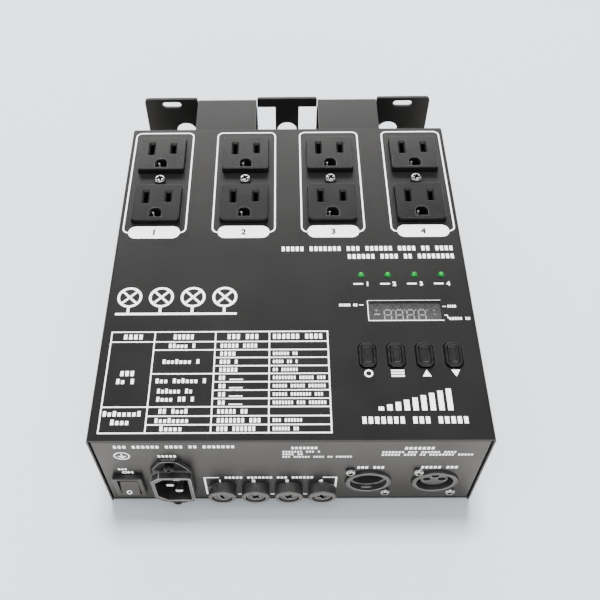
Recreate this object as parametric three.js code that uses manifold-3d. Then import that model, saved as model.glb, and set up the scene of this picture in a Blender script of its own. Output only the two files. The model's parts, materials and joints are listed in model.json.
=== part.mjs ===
// A four-channel stage dimmer pack: a folded steel box with four duplex outlets on top,
// a mains inlet, switch, fuses and signal sockets in front, and a hanging bracket behind.
//
// Millimetres, +Z up. The origin is the middle of the box's base, +X runs to the right of
// someone who faces the front panel, and +Y runs back towards the hanging bracket.

import * as THREE from 'three';
import { mergeVertices } from 'three/addons/utils/BufferGeometryUtils.js';
import Module from 'manifold-3d';

const wasm = await Module();
wasm.setup();

// Box and sheet metal
const boxWidth = 188;
const boxDepth = 208;
const boxHeight = 70;
const coverSheet = 1.0;
const chassisSheet = 1.2;
const coverBend = 1.6;
const chassisBend = 1.5;
const panelInset = 0.5;
const panelFlange = 12;
const sideFlangeHeight = 13;
const coverScrewInset = 37.4;
const coverScrewHeightShare = 0.6;

// Clearances shared by every fit
const seatGap = 0.3;
const cutOverrun = 1;

// Duplex outlets
const outletCount = 4;
const outletSideMargin = 2.57;
const outletRearMargin = 10.5;
const outletRowPitch = 38.6;
const faceWidth = 26.8;
const faceLength = 26.4;
const faceCorner = 2.2;
const faceRise = 3.5;
const receptacleWidth = 33;
const receptacleDepth = 26;
const receptacleEnd = 3.5;
const slotSpacing = 12.7;
const slotThickness = 2.2;
const lineSlotLength = 7;
const neutralSlotLength = 8.6;
const slotFromFaceCentre = 3.7;
const groundFromSlots = 11.9;
const groundWidth = 5.8;
const groundFlat = 2.7;
const slotDepth = 17;

// Screws
const screwHeadDiameter = 6.4;
const screwHeadHeight = 1.9;
const screwShankDiameter = 3;
const screwRecessLength = 3.8;
const screwRecessWidth = 0.9;
const screwRecessDepth = 1.1;
const outletScrewLength = 10;
const fittingScrewLength = 8;
const bracketScrewDiameter = 4;
const bracketScrewHead = 7.6;
const bracketScrewLength = 7;

// Row of fittings along the front panel
const switchGapShare = 0.1304;
const inletGapShare = 0.1175;
const fuseGroupGapShare = 0.149;
const fuseSpacingShare = 0.0609;
const signalGapShare = 0.0598;
const signalSpacingShare = 0.1646;

// Mains inlet
const inletFlangeLength = 49.6;
const inletEarWidth = 8;
const inletFlangeThickness = 2.2;
const inletFloorGap = 1.4;
const shroudWidth = 20;
const shroudLength = 28.2;
const shroudRise = 3.6;
const shroudCorner = 1.5;
const shroudWall = 1.6;
const inletChamfer = 4.6;
const inletCavityDepth = 16.5;
const inletFloorThickness = 6.3;
const inletScrewPitch = 40.2;
const pinWidth = 4;
const pinThickness = 2;
const pinRecess = 2.4;
const pinSpread = 14;
const earthPinOffset = 4;
const linePinsFromCentre = 2.2;
const pinTabLength = 9;

// Rocker switch
const bezelWidth = 14.8;
const bezelLength = 20.2;
const bezelRise = 2.6;
const bezelCorner = 0.8;
const switchFloorGap = 12.1;
const switchBodyInset = 1.1;
const switchBodyDepth = 13;
const rockerWidth = 9.4;
const rockerLength = 15.6;
const rockerWellDepth = 8.6;
const rockerPivotDepth = 2.6;
const rockerFaceRise = 2.4;
const rockerKeel = 2.8;
const rockerTilt = 9;
const rockerAxleDiameter = 2.4;
const rockerAxleLength = 0.9;

// Fuse holders
const fuseCount = 4;
const fuseCollarDiameter = 14.2;
const fuseCollarRise = 5.4;
const fuseFloorGap = 8.2;
const fuseBarrelDiameter = 11.8;
const fuseBarrelLength = 34;
const fuseCapDiameter = 9.4;
const fuseCapDepth = 6;
const fuseCapSink = 0.5;
const fuseGripDiameter = 7.6;
const fuseGripLength = 9;
const fuseDiameter = 5.2;
const fuseLength = 20;
const fuseSocketLength = 5;
const fuseSlotWidth = 1.1;
const fuseSlotLength = 5.2;
const fuseSlotDepth = 1.2;

// Signal sockets
const socketRingDiameter = 22.7;
const socketBoreDiameter = 18.8;
const socketRise = 1.2;
const socketFlangeWidth = 26;
const socketFlangeLength = 31;
const socketFlangeThickness = 2;
const socketFloorGap = 8.4;
const socketDepth = 18;
const socketCavityDepth = 15;
const socketScrewSpanX = 19;
const socketScrewSpanZ = 24;
const contactRadius = 3.8;
const contactPinDiameter = 2.4;
const contactPinLength = 11;
const contactTailLength = 5;
const insertDiameter = 13.8;
const insertSink = 2.4;
const contactHoleDiameter = 2.9;
const contactHoleDepth = 10;

// Display, lamps and buttons on the cover
const controlsFromSide = 35;
const displayFromMiddle = 7.9;
const windowWidth = 36.6;
const windowLength = 11.4;
const windowCorner = 0.6;
const windowFlangeMargin = 1.8;
const windowFlangeThickness = 0.8;
const displayWidth = 29.6;
const displayLength = 9.4;
const displayHeight = 6;
const controlPitch = 14;
const controlCount = 4;
const buttonsFromDisplay = 27.1;
const buttonWidth = 8.2;
const buttonLength = 13.6;
const buttonChamfer = 1.6;
const buttonRise = 1.1;
const buttonLip = 0.8;
const buttonLipThickness = 1.2;
const buttonStemWidth = 4;
const buttonTravel = 0.8;
const lampsFromDisplay = 23;
const lampDiameter = 3;
const lampRise = 1.1;
const lampCollar = 0.5;
const lampCollarHeight = 1;
const lampLeadWidth = 0.6;
const lampLeadSpacing = 1.3;

// Boards and heat sink inside
const boardThickness = 1.6;
const controlBoardWidth = 58;
const controlBoardFromButtons = 18.3;
const controlBoardLength = 77;
const controlPostDiameter = 5;
const controlPostInset = 3.6;
const keySwitchWidth = 6;
const keySwitchHeight = 3.3;
const powerBoardLift = 7;
const powerBoardMargin = 12;
const powerPostDiameter = 7;
const powerPostInset = 8;
const chokeDiameter = 24;
const chokeBore = 10;
const chokeHeightShare = 0.34;
const chokeRowShare = 0.72;
const capacitorDiameter = 15;
const capacitorHeightShare = 0.72;
const capacitorRowShare = 0.1;
const supplyBlockLength = 22;
const supplyBlockHeightShare = 0.6;
const triacWidth = 10;
const triacThickness = 4.4;
const triacHeight = 16;
const heatSinkLengthShare = 0.82;
const heatSinkBase = 4;
const heatSinkFinCount = 5;
const heatSinkFinThickness = 1.6;
const heatSinkFinDepth = 12;
const heatSinkHeightShare = 0.62;
const heatSinkRowShare = 0.3;

// Hanging bracket behind the box
const bracketSheet = 2;
const bracketBend = 2.6;
const bracketReach = 32;
const bracketDrop = 1.3;
const webDrop = 1.2;
const plateSideInset = 3.5;
const plateHeight = 52;
const plateCorner = 2.6;
const wingWidth = 33.7;
const webNotchDepth = 8;
const footHeight = 21;
const stemWidth = 15;
const stemWindowWidth = 11.5;
const stemBarHeight = 6.8;
const stemWindowHeight = 26;
const clampHoleDiameter = 12.5;
const clampHoleFromSide = 24.5;
const hangSlotLength = 12;
const hangSlotWidth = 4.6;
const hangSlotFromTop = 4.6;
const hangSlotFromSide = 17;

// Fineness of round shapes
const largeSteps = 24;
const roundSteps = 16;
const screwSteps = 10;
const cornerSteps = 2;
const weldTolerance = 1e-4;
const gridStep = 1 / 1024;

// Places worked out from the sizes above
const halfWidth = boxWidth / 2;
const frontEdge = -boxDepth / 2;
const rearEdge = boxDepth / 2;
const coverUnderside = boxHeight - coverSheet;
const coverInside = halfWidth - coverSheet;
const panelHalf = coverInside - seatGap;
const panelFace = frontEdge + panelInset;
const panelBack = panelFace + chassisSheet;
const rearFace = rearEdge - panelInset;
const panelBottom = chassisSheet + seatGap;
const panelTop = coverUnderside - seatGap;
const shankRadius = screwShankDiameter / 2;
const shankHoleRadius = shankRadius + seatGap;

// Every corner lies on a fine binary grid, so faces that are meant to meet do so exactly.
const snapped = (value) => Math.round(value / gridStep) * gridStep;

// Turns a closed geometry into a solid that can be joined and cut.
function solid(geometry) {
  const bare = geometry.clone();
  bare.deleteAttribute('normal');
  bare.deleteAttribute('uv');
  bare.attributes.position.array = bare.attributes.position.array.map(snapped);
  const welded = mergeVertices(bare, weldTolerance);
  const corners = welded.index.array;
  const faces = [];
  for (let i = 0; i < corners.length; i += 3) {
    const [a, b, c] = corners.slice(i, i + 3);
    if (a !== b && b !== c && c !== a) faces.push(a, b, c);
  }
  return new wasm.Manifold(new wasm.Mesh({
    numProp: 3,
    vertProperties: welded.attributes.position.array,
    triVerts: Uint32Array.from(faces),
  }));
}

// Turns a solid back into a geometry for a mesh.
function toGeometry(body) {
  const mesh = body.getMesh();
  const geometry = new THREE.BufferGeometry();
  geometry.setAttribute('position', new THREE.BufferAttribute(mesh.vertProperties, mesh.numProp));
  geometry.setIndex(new THREE.BufferAttribute(mesh.triVerts, 1));
  geometry.computeVertexNormals();
  return geometry;
}

const joined = (bodies) => bodies.reduce((whole, body) => whole.add(body));
const cut = (body, tools) => tools.reduce((rest, tool) => rest.subtract(tool), body);
const moved = (body, x, y, z) => body.translate([x, y, z].map(snapped));

// A box between two corners.
function block([x0, y0, z0], [x1, y1, z1]) {
  const geometry = new THREE.BoxGeometry(x1 - x0, y1 - y0, z1 - z0);
  geometry.translate((x0 + x1) / 2, (y0 + y1) / 2, (z0 + z1) / 2);
  return solid(geometry);
}

// A shape drawn in X and Y, pushed up from z0 to z1.
function upright(shape, z0, z1, steps = cornerSteps) {
  const geometry = new THREE.ExtrudeGeometry(shape, {
    depth: z1 - z0, bevelEnabled: false, curveSegments: steps,
  });
  geometry.translate(0, 0, z0);
  return solid(geometry);
}

// A shape drawn in X and Z, pushed back from y0 to y1.
function frontal(shape, y0, y1, steps = cornerSteps) {
  const geometry = new THREE.ExtrudeGeometry(shape, {
    depth: y1 - y0, bevelEnabled: false, curveSegments: steps,
  });
  geometry.rotateX(Math.PI / 2);
  geometry.translate(0, y1, 0);
  return solid(geometry);
}

// A shape drawn in Y and Z, pushed sideways from x0 to x1.
function sideways(shape, x0, x1, steps = cornerSteps) {
  const geometry = new THREE.ExtrudeGeometry(shape, {
    depth: x1 - x0, bevelEnabled: false, curveSegments: steps,
  });
  const turn = new THREE.Matrix4().makeBasis(
    new THREE.Vector3(0, 1, 0), new THREE.Vector3(0, 0, 1), new THREE.Vector3(1, 0, 0));
  geometry.applyMatrix4(turn);
  geometry.translate(x0, 0, 0);
  return solid(geometry);
}

// A closed outline of [radius, height] points, turned about the Y axis.
function turned(outline, steps = roundSteps) {
  const points = outline.map(([radius, height]) => new THREE.Vector2(radius, height));
  return solid(new THREE.LatheGeometry(points, steps));
}

// A plain cylinder along Y from y0 to y1.
const rodY = (radius, y0, y1, steps = roundSteps) =>
  turned([[0, y0], [radius, y0], [radius, y1], [0, y1]], steps);

// The same cylinder standing along Z, or lying along X.
const standing = (body) => body.rotate([90, 0, 0]);
const lying = (body) => body.rotate([0, 0, -90]);
const rodZ = (radius, z0, z1, steps = roundSteps) => standing(rodY(radius, z0, z1, steps));
const rodX = (radius, x0, x1, steps = roundSteps) => lying(rodY(radius, x0, x1, steps));

// A rectangle with rounded corners, centred on the origin.
function roundedRect(width, length, radius) {
  const [right, top] = [width / 2, length / 2];
  const quarter = Math.PI / 2;
  const shape = new THREE.Shape();
  shape.absarc(right - radius, top - radius, radius, 0, quarter);
  shape.absarc(radius - right, top - radius, radius, quarter, 2 * quarter);
  shape.absarc(radius - right, radius - top, radius, 2 * quarter, 3 * quarter);
  shape.absarc(right - radius, radius - top, radius, 3 * quarter, 4 * quarter);
  shape.closePath();
  return shape;
}

// A shape through a list of points.
function polygon(points) {
  return new THREE.Shape(points.map(([x, y]) => new THREE.Vector2(x, y)));
}

// A folded channel: its web lies along y = 0 from -half to half, and its legs point down.
function channel(half, legLeft, legRight, sheet, bend) {
  const inner = bend - sheet;
  const quarter = Math.PI / 2;
  const shape = new THREE.Shape();
  shape.moveTo(-half, -legLeft);
  shape.lineTo(-half + sheet, -legLeft);
  shape.absarc(-half + bend, -bend, inner, 2 * quarter, quarter, true);
  shape.absarc(half - bend, -bend, inner, quarter, 0, true);
  shape.lineTo(half - sheet, -legRight);
  shape.lineTo(half, -legRight);
  shape.absarc(half - bend, -bend, bend, 0, quarter);
  shape.absarc(-half + bend, -bend, bend, quarter, 2 * quarter);
  shape.closePath();
  return shape;
}

const model = new THREE.Group();

// Adds one named piece with a material of its own.
function addPiece(name, body, look, [x, y, z] = [0, 0, 0], parent = model) {
  const mesh = new THREE.Mesh(toGeometry(body), new THREE.MeshStandardMaterial(look));
  mesh.name = name;
  mesh.position.set(x, y, z);
  parent.add(mesh);
  return mesh;
}

const blackPaint = { color: 0x2b2b2d, roughness: 0.55, metalness: 0.3 };
const panelPaint = { color: 0x3a3a3c, roughness: 0.5, metalness: 0.3 };
const blackPlastic = { color: 0x1c1c1e, roughness: 0.5, metalness: 0 };
const greyPlastic = { color: 0x4a4a4c, roughness: 0.5, metalness: 0 };
const bareSteel = { color: 0xb9bbbd, roughness: 0.3, metalness: 1 };
const brass = { color: 0xc9b27a, roughness: 0.3, metalness: 1 };
const greenLens = { color: 0x3fbf5a, roughness: 0.2, metalness: 0 };
const smokedLens = { color: 0x3a3c40, roughness: 0.15, metalness: 0 };
const glass = { color: 0xdfe6e8, roughness: 0.1, metalness: 0 };
const boardGreen = { color: 0x2f6b45, roughness: 0.6, metalness: 0 };
const aluminium = { color: 0xa9abae, roughness: 0.4, metalness: 1 };

// Pan-head screw along Y: the head faces -Y and its seat lies at y = 0.
function screw(headDiameter, shankDiameter, length) {
  const head = headDiameter / 2;
  const shank = shankDiameter / 2;
  const headRim = screwHeadHeight / 2;
  const crown = head - headRim / 2;
  const body = turned([
    [0, -screwHeadHeight], [crown, -screwHeadHeight], [head, -headRim], [head, 0],
    [shank, 0], [shank, length], [0, length],
  ], screwSteps);
  const halfLength = screwRecessLength / 2;
  const halfBar = screwRecessWidth / 2;
  const recessFront = -screwHeadHeight - cutOverrun;
  const recessFloor = -screwHeadHeight + screwRecessDepth;
  return cut(body, [
    block([-halfLength, recessFront, -halfBar], [halfLength, recessFloor, halfBar]),
    block([-halfBar, recessFront, -halfLength], [halfBar, recessFloor, halfLength]),
  ]);
}

const fittingScrew = () => screw(screwHeadDiameter, screwShankDiameter, fittingScrewLength);

// Where the fittings stand along the front: what is left of the width lies between them.
const fittingWidths = [bezelWidth, shroudWidth]
  .concat(Array(fuseCount).fill(fuseCollarDiameter), [socketFlangeWidth, socketFlangeWidth]);
const freeWidth = boxWidth - fittingWidths.reduce((sum, width) => sum + width, 0);
const gapShares = [switchGapShare, inletGapShare, fuseGroupGapShare]
  .concat(Array(fuseCount - 1).fill(fuseSpacingShare), [signalGapShare, signalSpacingShare]);
const fittingPlaces = [];
let reached = -halfWidth;
fittingWidths.forEach((width, index) => {
  reached += freeWidth * gapShares[index];
  fittingPlaces.push(reached + width / 2);
  reached += width;
});
const [switchX, inletX] = fittingPlaces;
const fuseXs = fittingPlaces.slice(2, 2 + fuseCount);
const [signalInX, signalOutX] = fittingPlaces.slice(2 + fuseCount);

const switchZ = switchFloorGap + bezelLength / 2;
const inletZ = inletFloorGap + inletFlangeLength / 2;
const fuseZ = fuseFloorGap + fuseCollarDiameter / 2;
const signalZ = socketFloorGap + socketFlangeLength / 2;
const fittingSeat = panelFace - seatGap;
const screwSeatOnPanel = panelFace - seatGap;
const screwSeatOnInlet = fittingSeat - inletFlangeThickness - seatGap;

// Outlets stand in a row of columns, and their faces in two rows.
const lastColumnX = coverInside - outletSideMargin - receptacleWidth / 2;
const columnPitch = 2 * lastColumnX / (outletCount - 1);
const columnXs = Array.from({ length: outletCount },
  (_, index) => index * columnPitch - lastColumnX);
const receptacleLength = outletRowPitch + faceLength + 2 * receptacleEnd;
const rearFaceY = rearEdge - outletRearMargin - faceLength / 2;
const pairY = rearFaceY - outletRowPitch / 2;
const outletRows = [-outletRowPitch / 2, outletRowPitch / 2];

// Buttons and lamps share their columns with the display's middle.
const controlsX = halfWidth - controlsFromSide;
const outletFront = pairY - receptacleLength / 2;
const displayY = (frontEdge + outletFront) / 2 + displayFromMiddle;
const buttonsY = displayY - buttonsFromDisplay;
const lampsY = displayY + lampsFromDisplay;
const controlXs = Array.from({ length: controlCount },
  (_, index) => controlsX + (index - (controlCount - 1) / 2) * controlPitch);

// Cover screws pass through the sides into the base's side flanges.
const coverScrewZ = sideFlangeHeight * coverScrewHeightShare;
const coverScrewYs = [frontEdge + coverScrewInset, rearEdge - coverScrewInset];

// Outline of a button: a rectangle with its corners cut off.
function buttonOutline(margin) {
  const [right, top] = [buttonWidth / 2 + margin, buttonLength / 2 + margin];
  return polygon([
    [right - buttonChamfer, -top], [right, buttonChamfer - top], [right, top - buttonChamfer],
    [right - buttonChamfer, top], [buttonChamfer - right, top], [-right, top - buttonChamfer],
    [-right, buttonChamfer - top], [buttonChamfer - right, -top],
  ]);
}

function topCover() {
  const lift = seatGap;
  const legs = boxHeight - lift;
  const shell = moved(
    frontal(channel(halfWidth, legs, legs, coverSheet, coverBend), frontEdge, rearEdge), 0, 0, boxHeight);
  const low = coverUnderside - cutOverrun;
  const high = boxHeight + cutOverrun;
  const faceHole = upright(roundedRect(
    faceWidth + 2 * seatGap, faceLength + 2 * seatGap, faceCorner), low, high);
  const tools = [];
  for (const x of columnXs) {
    for (const row of outletRows) tools.push(moved(faceHole, x, pairY + row, 0));
    tools.push(moved(rodZ(shankHoleRadius, low, high, screwSteps), x, pairY, 0));
  }
  const windowHole = upright(roundedRect(
    windowWidth + 2 * seatGap, windowLength + 2 * seatGap, windowCorner), low, high);
  tools.push(moved(windowHole, controlsX, displayY, 0));
  for (const x of controlXs) {
    tools.push(moved(upright(buttonOutline(seatGap), low, high), x, buttonsY, 0));
    tools.push(moved(rodZ(lampDiameter / 2 + seatGap, low, high, screwSteps), x, lampsY, 0));
  }
  for (const y of coverScrewYs) {
    const through = rodX(shankHoleRadius, -halfWidth - cutOverrun, halfWidth + cutOverrun, screwSteps);
    tools.push(moved(through, 0, y, coverScrewZ));
  }
  return cut(shell, tools);
}

// Outline of the inlet's flange, with an ear that narrows towards each screw.
function inletFlangeOutline() {
  const [side, shoulder] = [shroudWidth / 2, shroudLength / 2];
  const [ear, tip] = [inletEarWidth / 2, inletFlangeLength / 2];
  return polygon([
    [side, -shoulder], [side, shoulder], [ear, tip], [-ear, tip],
    [-side, shoulder], [-side, -shoulder], [-ear, -tip], [ear, -tip],
  ]);
}

function frontPanel() {
  const half = (panelTop - panelBottom) / 2;
  const shape = channel(half, panelFlange, panelFlange, chassisSheet, chassisBend);
  const geometry = new THREE.ExtrudeGeometry(shape, {
    depth: 2 * panelHalf, bevelEnabled: false, curveSegments: cornerSteps,
  });
  const turn = new THREE.Matrix4().makeBasis(
    new THREE.Vector3(0, 0, 1), new THREE.Vector3(0, -1, 0), new THREE.Vector3(1, 0, 0));
  geometry.applyMatrix4(turn);
  geometry.translate(-panelHalf, panelFace, panelBottom + half);
  const [near, far] = [panelFace - cutOverrun, panelBack + cutOverrun];
  const switchHole = roundedRect(
    bezelWidth - switchBodyInset, bezelLength - switchBodyInset, bezelCorner);
  const inletHole = roundedRect(shroudWidth - shroudWall, shroudLength - shroudWall, shroudCorner);
  const screwHole = rodY(shankHoleRadius, near, far, screwSteps);
  const tools = [
    moved(frontal(switchHole, near, far), switchX, 0, switchZ),
    moved(frontal(inletHole, near, far), inletX, 0, inletZ),
  ];
  for (const side of [-1, 1]) {
    tools.push(moved(screwHole, inletX, 0, inletZ + side * inletScrewPitch / 2));
  }
  for (const x of fuseXs) {
    tools.push(moved(rodY(fuseBarrelDiameter / 2 + seatGap, near, far), x, 0, fuseZ));
  }
  for (const x of [signalInX, signalOutX]) {
    tools.push(moved(rodY(socketRingDiameter / 2 + seatGap, near, far, largeSteps), x, 0, signalZ));
    for (const side of [-1, 1]) {
      tools.push(moved(screwHole,
        x + side * socketScrewSpanX / 2, 0, signalZ - side * socketScrewSpanZ / 2));
    }
  }
  return cut(solid(geometry), tools);
}

// The bracket's webs run from the windows beside its stem to its wings.
const plateHalf = halfWidth - plateSideInset;
const webInner = stemWidth / 2 + stemWindowWidth;
const webWidth = plateHalf - wingWidth - webInner;
const webXs = [-webInner - webWidth / 2, webInner + webWidth / 2];
const webTop = coverUnderside - webDrop;
const bracketScrewZ = webTop - bracketSheet - footHeight / 2;
const footSeat = rearFace + seatGap;

function baseChassis() {
  const quarter = Math.PI / 2;
  const inner = chassisBend - chassisSheet;
  const profile = new THREE.Shape();
  profile.moveTo(panelFace, 0);
  profile.lineTo(rearFace - chassisBend, 0);
  profile.absarc(rearFace - chassisBend, chassisBend, chassisBend, -quarter, 0);
  profile.lineTo(rearFace, panelTop);
  profile.lineTo(rearFace - chassisSheet, panelTop);
  profile.absarc(rearFace - chassisBend, chassisBend, inner, 0, -quarter, true);
  profile.lineTo(panelFace, chassisSheet);
  profile.closePath();
  const floorAndRear = sideways(profile, -panelHalf, panelHalf);
  const flangeFront = panelFace + panelFlange + seatGap;
  const flangeRear = rearFace - chassisSheet;
  const flanges = [-1, 1].map((side) => {
    const xs = [side * panelHalf, side * (panelHalf - chassisSheet)].sort((a, b) => a - b);
    return block([xs[0], flangeFront, 0], [xs[1], flangeRear, sideFlangeHeight]);
  });
  const tools = coverScrewYs.map((y) => moved(
    rodX(shankHoleRadius, -halfWidth, halfWidth, screwSteps), 0, y, coverScrewZ));
  const bracketHole = rodY(bracketScrewDiameter / 2 + seatGap,
    rearFace - chassisSheet - cutOverrun, rearFace + cutOverrun, screwSteps);
  for (const x of webXs) tools.push(moved(bracketHole, x, 0, bracketScrewZ));
  return cut(joined([floorAndRear, ...flanges]), tools);
}

function hangingBracket() {
  const plateFront = rearEdge + bracketReach - bracketSheet - panelInset;
  const plateBack = plateFront + bracketSheet;
  const plateTop = boxHeight - bracketDrop;
  const plateMiddle = plateTop - plateHeight / 2;
  const plateShape = roundedRect(2 * plateHalf, plateHeight, plateCorner);
  const plate = moved(frontal(plateShape, plateFront, plateBack), 0, 0, plateMiddle);
  const [near, far] = [plateFront - cutOverrun, plateBack + cutOverrun];
  const notchFloor = plateTop - webNotchDepth;
  const windowTop = plateTop - stemBarHeight;
  const tools = [];
  for (const x of webXs) {
    tools.push(block([x - webWidth / 2, near, notchFloor],
      [x + webWidth / 2, far, plateTop + cutOverrun]));
  }
  for (const side of [-1, 1]) {
    const xs = [side * stemWidth / 2, side * webInner].sort((a, b) => a - b);
    tools.push(block([xs[0], near, windowTop - stemWindowHeight], [xs[1], far, windowTop]));
    const slot = roundedRect(hangSlotLength, hangSlotWidth, hangSlotWidth / 2);
    tools.push(moved(frontal(slot, near, far, cornerSteps + 1),
      side * (plateHalf - hangSlotFromSide), 0, plateTop - hangSlotFromTop));
  }
  const clampX = plateHalf - clampHoleFromSide;
  for (const x of [-clampX, 0, clampX]) {
    tools.push(moved(rodY(clampHoleDiameter / 2, near, far), x, 0, plateMiddle));
  }
  const webHalf = (plateBack - footSeat) / 2;
  const arm = sideways(
    channel(webHalf, footHeight + bracketSheet, webNotchDepth + bracketSheet, bracketSheet, bracketBend),
    -webWidth / 2, webWidth / 2);
  const arms = webXs.map((x) => moved(arm, x, footSeat + webHalf, webTop));
  const bracketHole = rodY(bracketScrewDiameter / 2 + seatGap,
    footSeat - cutOverrun, footSeat + bracketSheet + cutOverrun, screwSteps);
  const holes = webXs.map((x) => moved(bracketHole, x, 0, bracketScrewZ));
  return cut(joined([cut(plate, tools), ...arms]), holes);
}

// A duplex receptacle about its own centre screw; the top of its body lies at z = 0.
function duplexReceptacle() {
  const faceTop = seatGap + coverSheet + faceRise;
  const body = block([-receptacleWidth / 2, -receptacleLength / 2, -receptacleDepth],
    [receptacleWidth / 2, receptacleLength / 2, 0]);
  const face = upright(roundedRect(faceWidth, faceLength, faceCorner), -cutOverrun, faceTop);
  const floor = faceTop - slotDepth;
  const high = faceTop + cutOverrun;
  const slotX = slotSpacing / 2;
  const slot = (x, y, slotLength) => block(
    [x - slotThickness / 2, y - slotLength / 2, floor], [x + slotThickness / 2, y + slotLength / 2, high]);
  const ground = new THREE.Shape();
  ground.absarc(0, 0, groundWidth / 2, 0, Math.PI);
  ground.lineTo(-groundWidth / 2, -groundFlat);
  ground.lineTo(groundWidth / 2, -groundFlat);
  ground.closePath();
  const groundHole = upright(ground, floor, high, 2 * cornerSteps);
  const tools = [rodZ(shankHoleRadius, -outletScrewLength - cutOverrun, cutOverrun, screwSteps)];
  const faces = [];
  for (const row of outletRows) {
    faces.push(moved(face, 0, row, 0));
    const slotY = row + slotFromFaceCentre;
    tools.push(slot(-slotX, slotY, neutralSlotLength), slot(slotX, slotY, lineSlotLength));
    tools.push(moved(groundHole, 0, slotY - groundFromSlots, 0));
  }
  return cut(joined([body, ...faces]), tools);
}

// The inlet's cavity outline: both corners on its left are cut off.
function inletCavityOutline() {
  const [side, end] = [shroudWidth / 2 - shroudWall, shroudLength / 2 - shroudWall];
  return polygon([
    [side, -end], [side, end], [inletChamfer - side, end], [-side, end - inletChamfer],
    [-side, inletChamfer - end], [inletChamfer - side, -end],
  ]);
}

// Places of the line, neutral and earth blades from the middle of the inlet.
const earthPinX = linePinsFromCentre - earthPinOffset;
const inletPins = [
  ['inlet_pin_line', linePinsFromCentre, pinSpread / 2],
  ['inlet_pin_neutral', linePinsFromCentre, -pinSpread / 2],
  ['inlet_pin_earth', earthPinX, 0],
];

// The inlet about its own axis; the back of its flange lies at y = 0.
const shroudFront = -inletFlangeThickness - shroudRise;
const inletCavityFloor = shroudFront + inletCavityDepth;
const inletRear = inletCavityFloor + inletFloorThickness;

function powerInlet() {
  const flange = frontal(inletFlangeOutline(), -inletFlangeThickness, 0);
  const shroud = frontal(roundedRect(shroudWidth, shroudLength, shroudCorner), shroudFront, 0);
  const inset = shroudWall + 2 * seatGap;
  const body = roundedRect(shroudWidth - inset, shroudLength - inset, shroudCorner);
  const rear = frontal(body, -cutOverrun, inletRear);
  const tools = [frontal(inletCavityOutline(), shroudFront - cutOverrun, inletCavityFloor)];
  const [halfPin, halfBlade] = [pinWidth / 2 + seatGap, pinThickness / 2 + seatGap];
  for (const [, x, z] of inletPins) {
    tools.push(block([x - halfPin, inletCavityFloor - cutOverrun, z - halfBlade],
      [x + halfPin, inletRear + cutOverrun, z + halfBlade]));
  }
  for (const side of [-1, 1]) {
    tools.push(moved(rodY(shankHoleRadius, -inletFlangeThickness - cutOverrun, cutOverrun, screwSteps),
      0, 0, side * inletScrewPitch / 2));
  }
  return cut(joined([flange, shroud, rear]), tools);
}

// One blade, from its chamfered tip to the tab behind the inlet.
function inletPin() {
  const tip = shroudFront + pinRecess;
  const rear = inletRear + pinTabLength;
  const [half, bevel] = [pinWidth / 2, pinThickness / 3];
  const outline = new THREE.Shape();
  outline.moveTo(-half, -rear);
  outline.lineTo(half, -rear);
  outline.lineTo(half, -tip - bevel);
  outline.lineTo(half - bevel, -tip);
  outline.lineTo(bevel - half, -tip);
  outline.lineTo(-half, -tip - bevel);
  outline.closePath();
  const blade = upright(outline, -pinThickness / 2, pinThickness / 2);
  return blade.rotate([180, 0, 0]);
}

// The switch about its own axis; the back of its bezel lies at y = 0.
const rockerWellFloor = rockerWellDepth - bezelRise;
const rockerPivotY = rockerPivotDepth - bezelRise;

function switchHousing() {
  const bezel = frontal(roundedRect(bezelWidth, bezelLength, bezelCorner), -bezelRise, 0);
  const inset = switchBodyInset + 2 * seatGap;
  const body = frontal(roundedRect(bezelWidth - inset, bezelLength - inset, bezelCorner),
    -cutOverrun, switchBodyDepth);
  const wellHalf = rockerWidth / 2 + seatGap;
  const wellEnd = rockerLength / 2 + 2 * seatGap;
  const well = block([-wellHalf, -bezelRise - cutOverrun, -wellEnd], [wellHalf, rockerWellFloor, wellEnd]);
  const axleHalf = rockerWidth / 2 + rockerAxleLength + seatGap;
  const axle = moved(rodX(rockerAxleDiameter / 2 + seatGap, -axleHalf, axleHalf, screwSteps),
    0, rockerPivotY, 0);
  return cut(joined([bezel, body]), [well, axle]);
}

// The rocker about its pivot, tilted so that its upper half is pressed in.
function switchRocker() {
  const half = rockerLength / 2;
  const dish = rockerFaceRise / 3;
  const profile = polygon([
    [-rockerFaceRise, half], [0, half], [rockerKeel, 0], [0, -half],
    [-rockerFaceRise, -half], [dish - rockerFaceRise, 0],
  ]);
  const body = sideways(profile, -rockerWidth / 2, rockerWidth / 2);
  const axleHalf = rockerWidth / 2 + rockerAxleLength;
  const axle = rodX(rockerAxleDiameter / 2, -axleHalf, axleHalf, screwSteps);
  return joined([body, axle]).rotate([-rockerTilt, 0, 0]);
}

// A fuse holder about its axis; the back of its collar lies at y = 0.
const fuseCapFront = -fuseCollarRise + fuseCapSink;
const fuseCapRear = fuseCapFront + fuseCapDepth;
const fuseGripRear = fuseCapRear + fuseGripLength;
const fuseFront = fuseGripRear - fuseSocketLength;
const fuseRear = fuseFront + fuseLength;

function fuseHolder() {
  const collar = fuseCollarDiameter / 2;
  const barrel = fuseBarrelDiameter / 2;
  const capBore = fuseCapDiameter / 2 + seatGap;
  const gripBore = fuseGripDiameter / 2 + seatGap;
  const fuseBore = fuseDiameter / 2 + seatGap;
  const rimBevel = fuseCapSink;
  return turned([
    [capBore, -fuseCollarRise], [collar - rimBevel, -fuseCollarRise],
    [collar, rimBevel - fuseCollarRise], [collar, 0],
    [barrel, 0], [barrel, fuseBarrelLength], [0, fuseBarrelLength], [0, fuseRear + seatGap],
    [fuseBore, fuseRear + seatGap], [fuseBore, fuseGripRear + seatGap],
    [gripBore, fuseGripRear + seatGap], [gripBore, fuseCapRear + seatGap],
    [capBore, fuseCapRear + seatGap], [capBore, -fuseCollarRise],
  ]);
}

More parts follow.
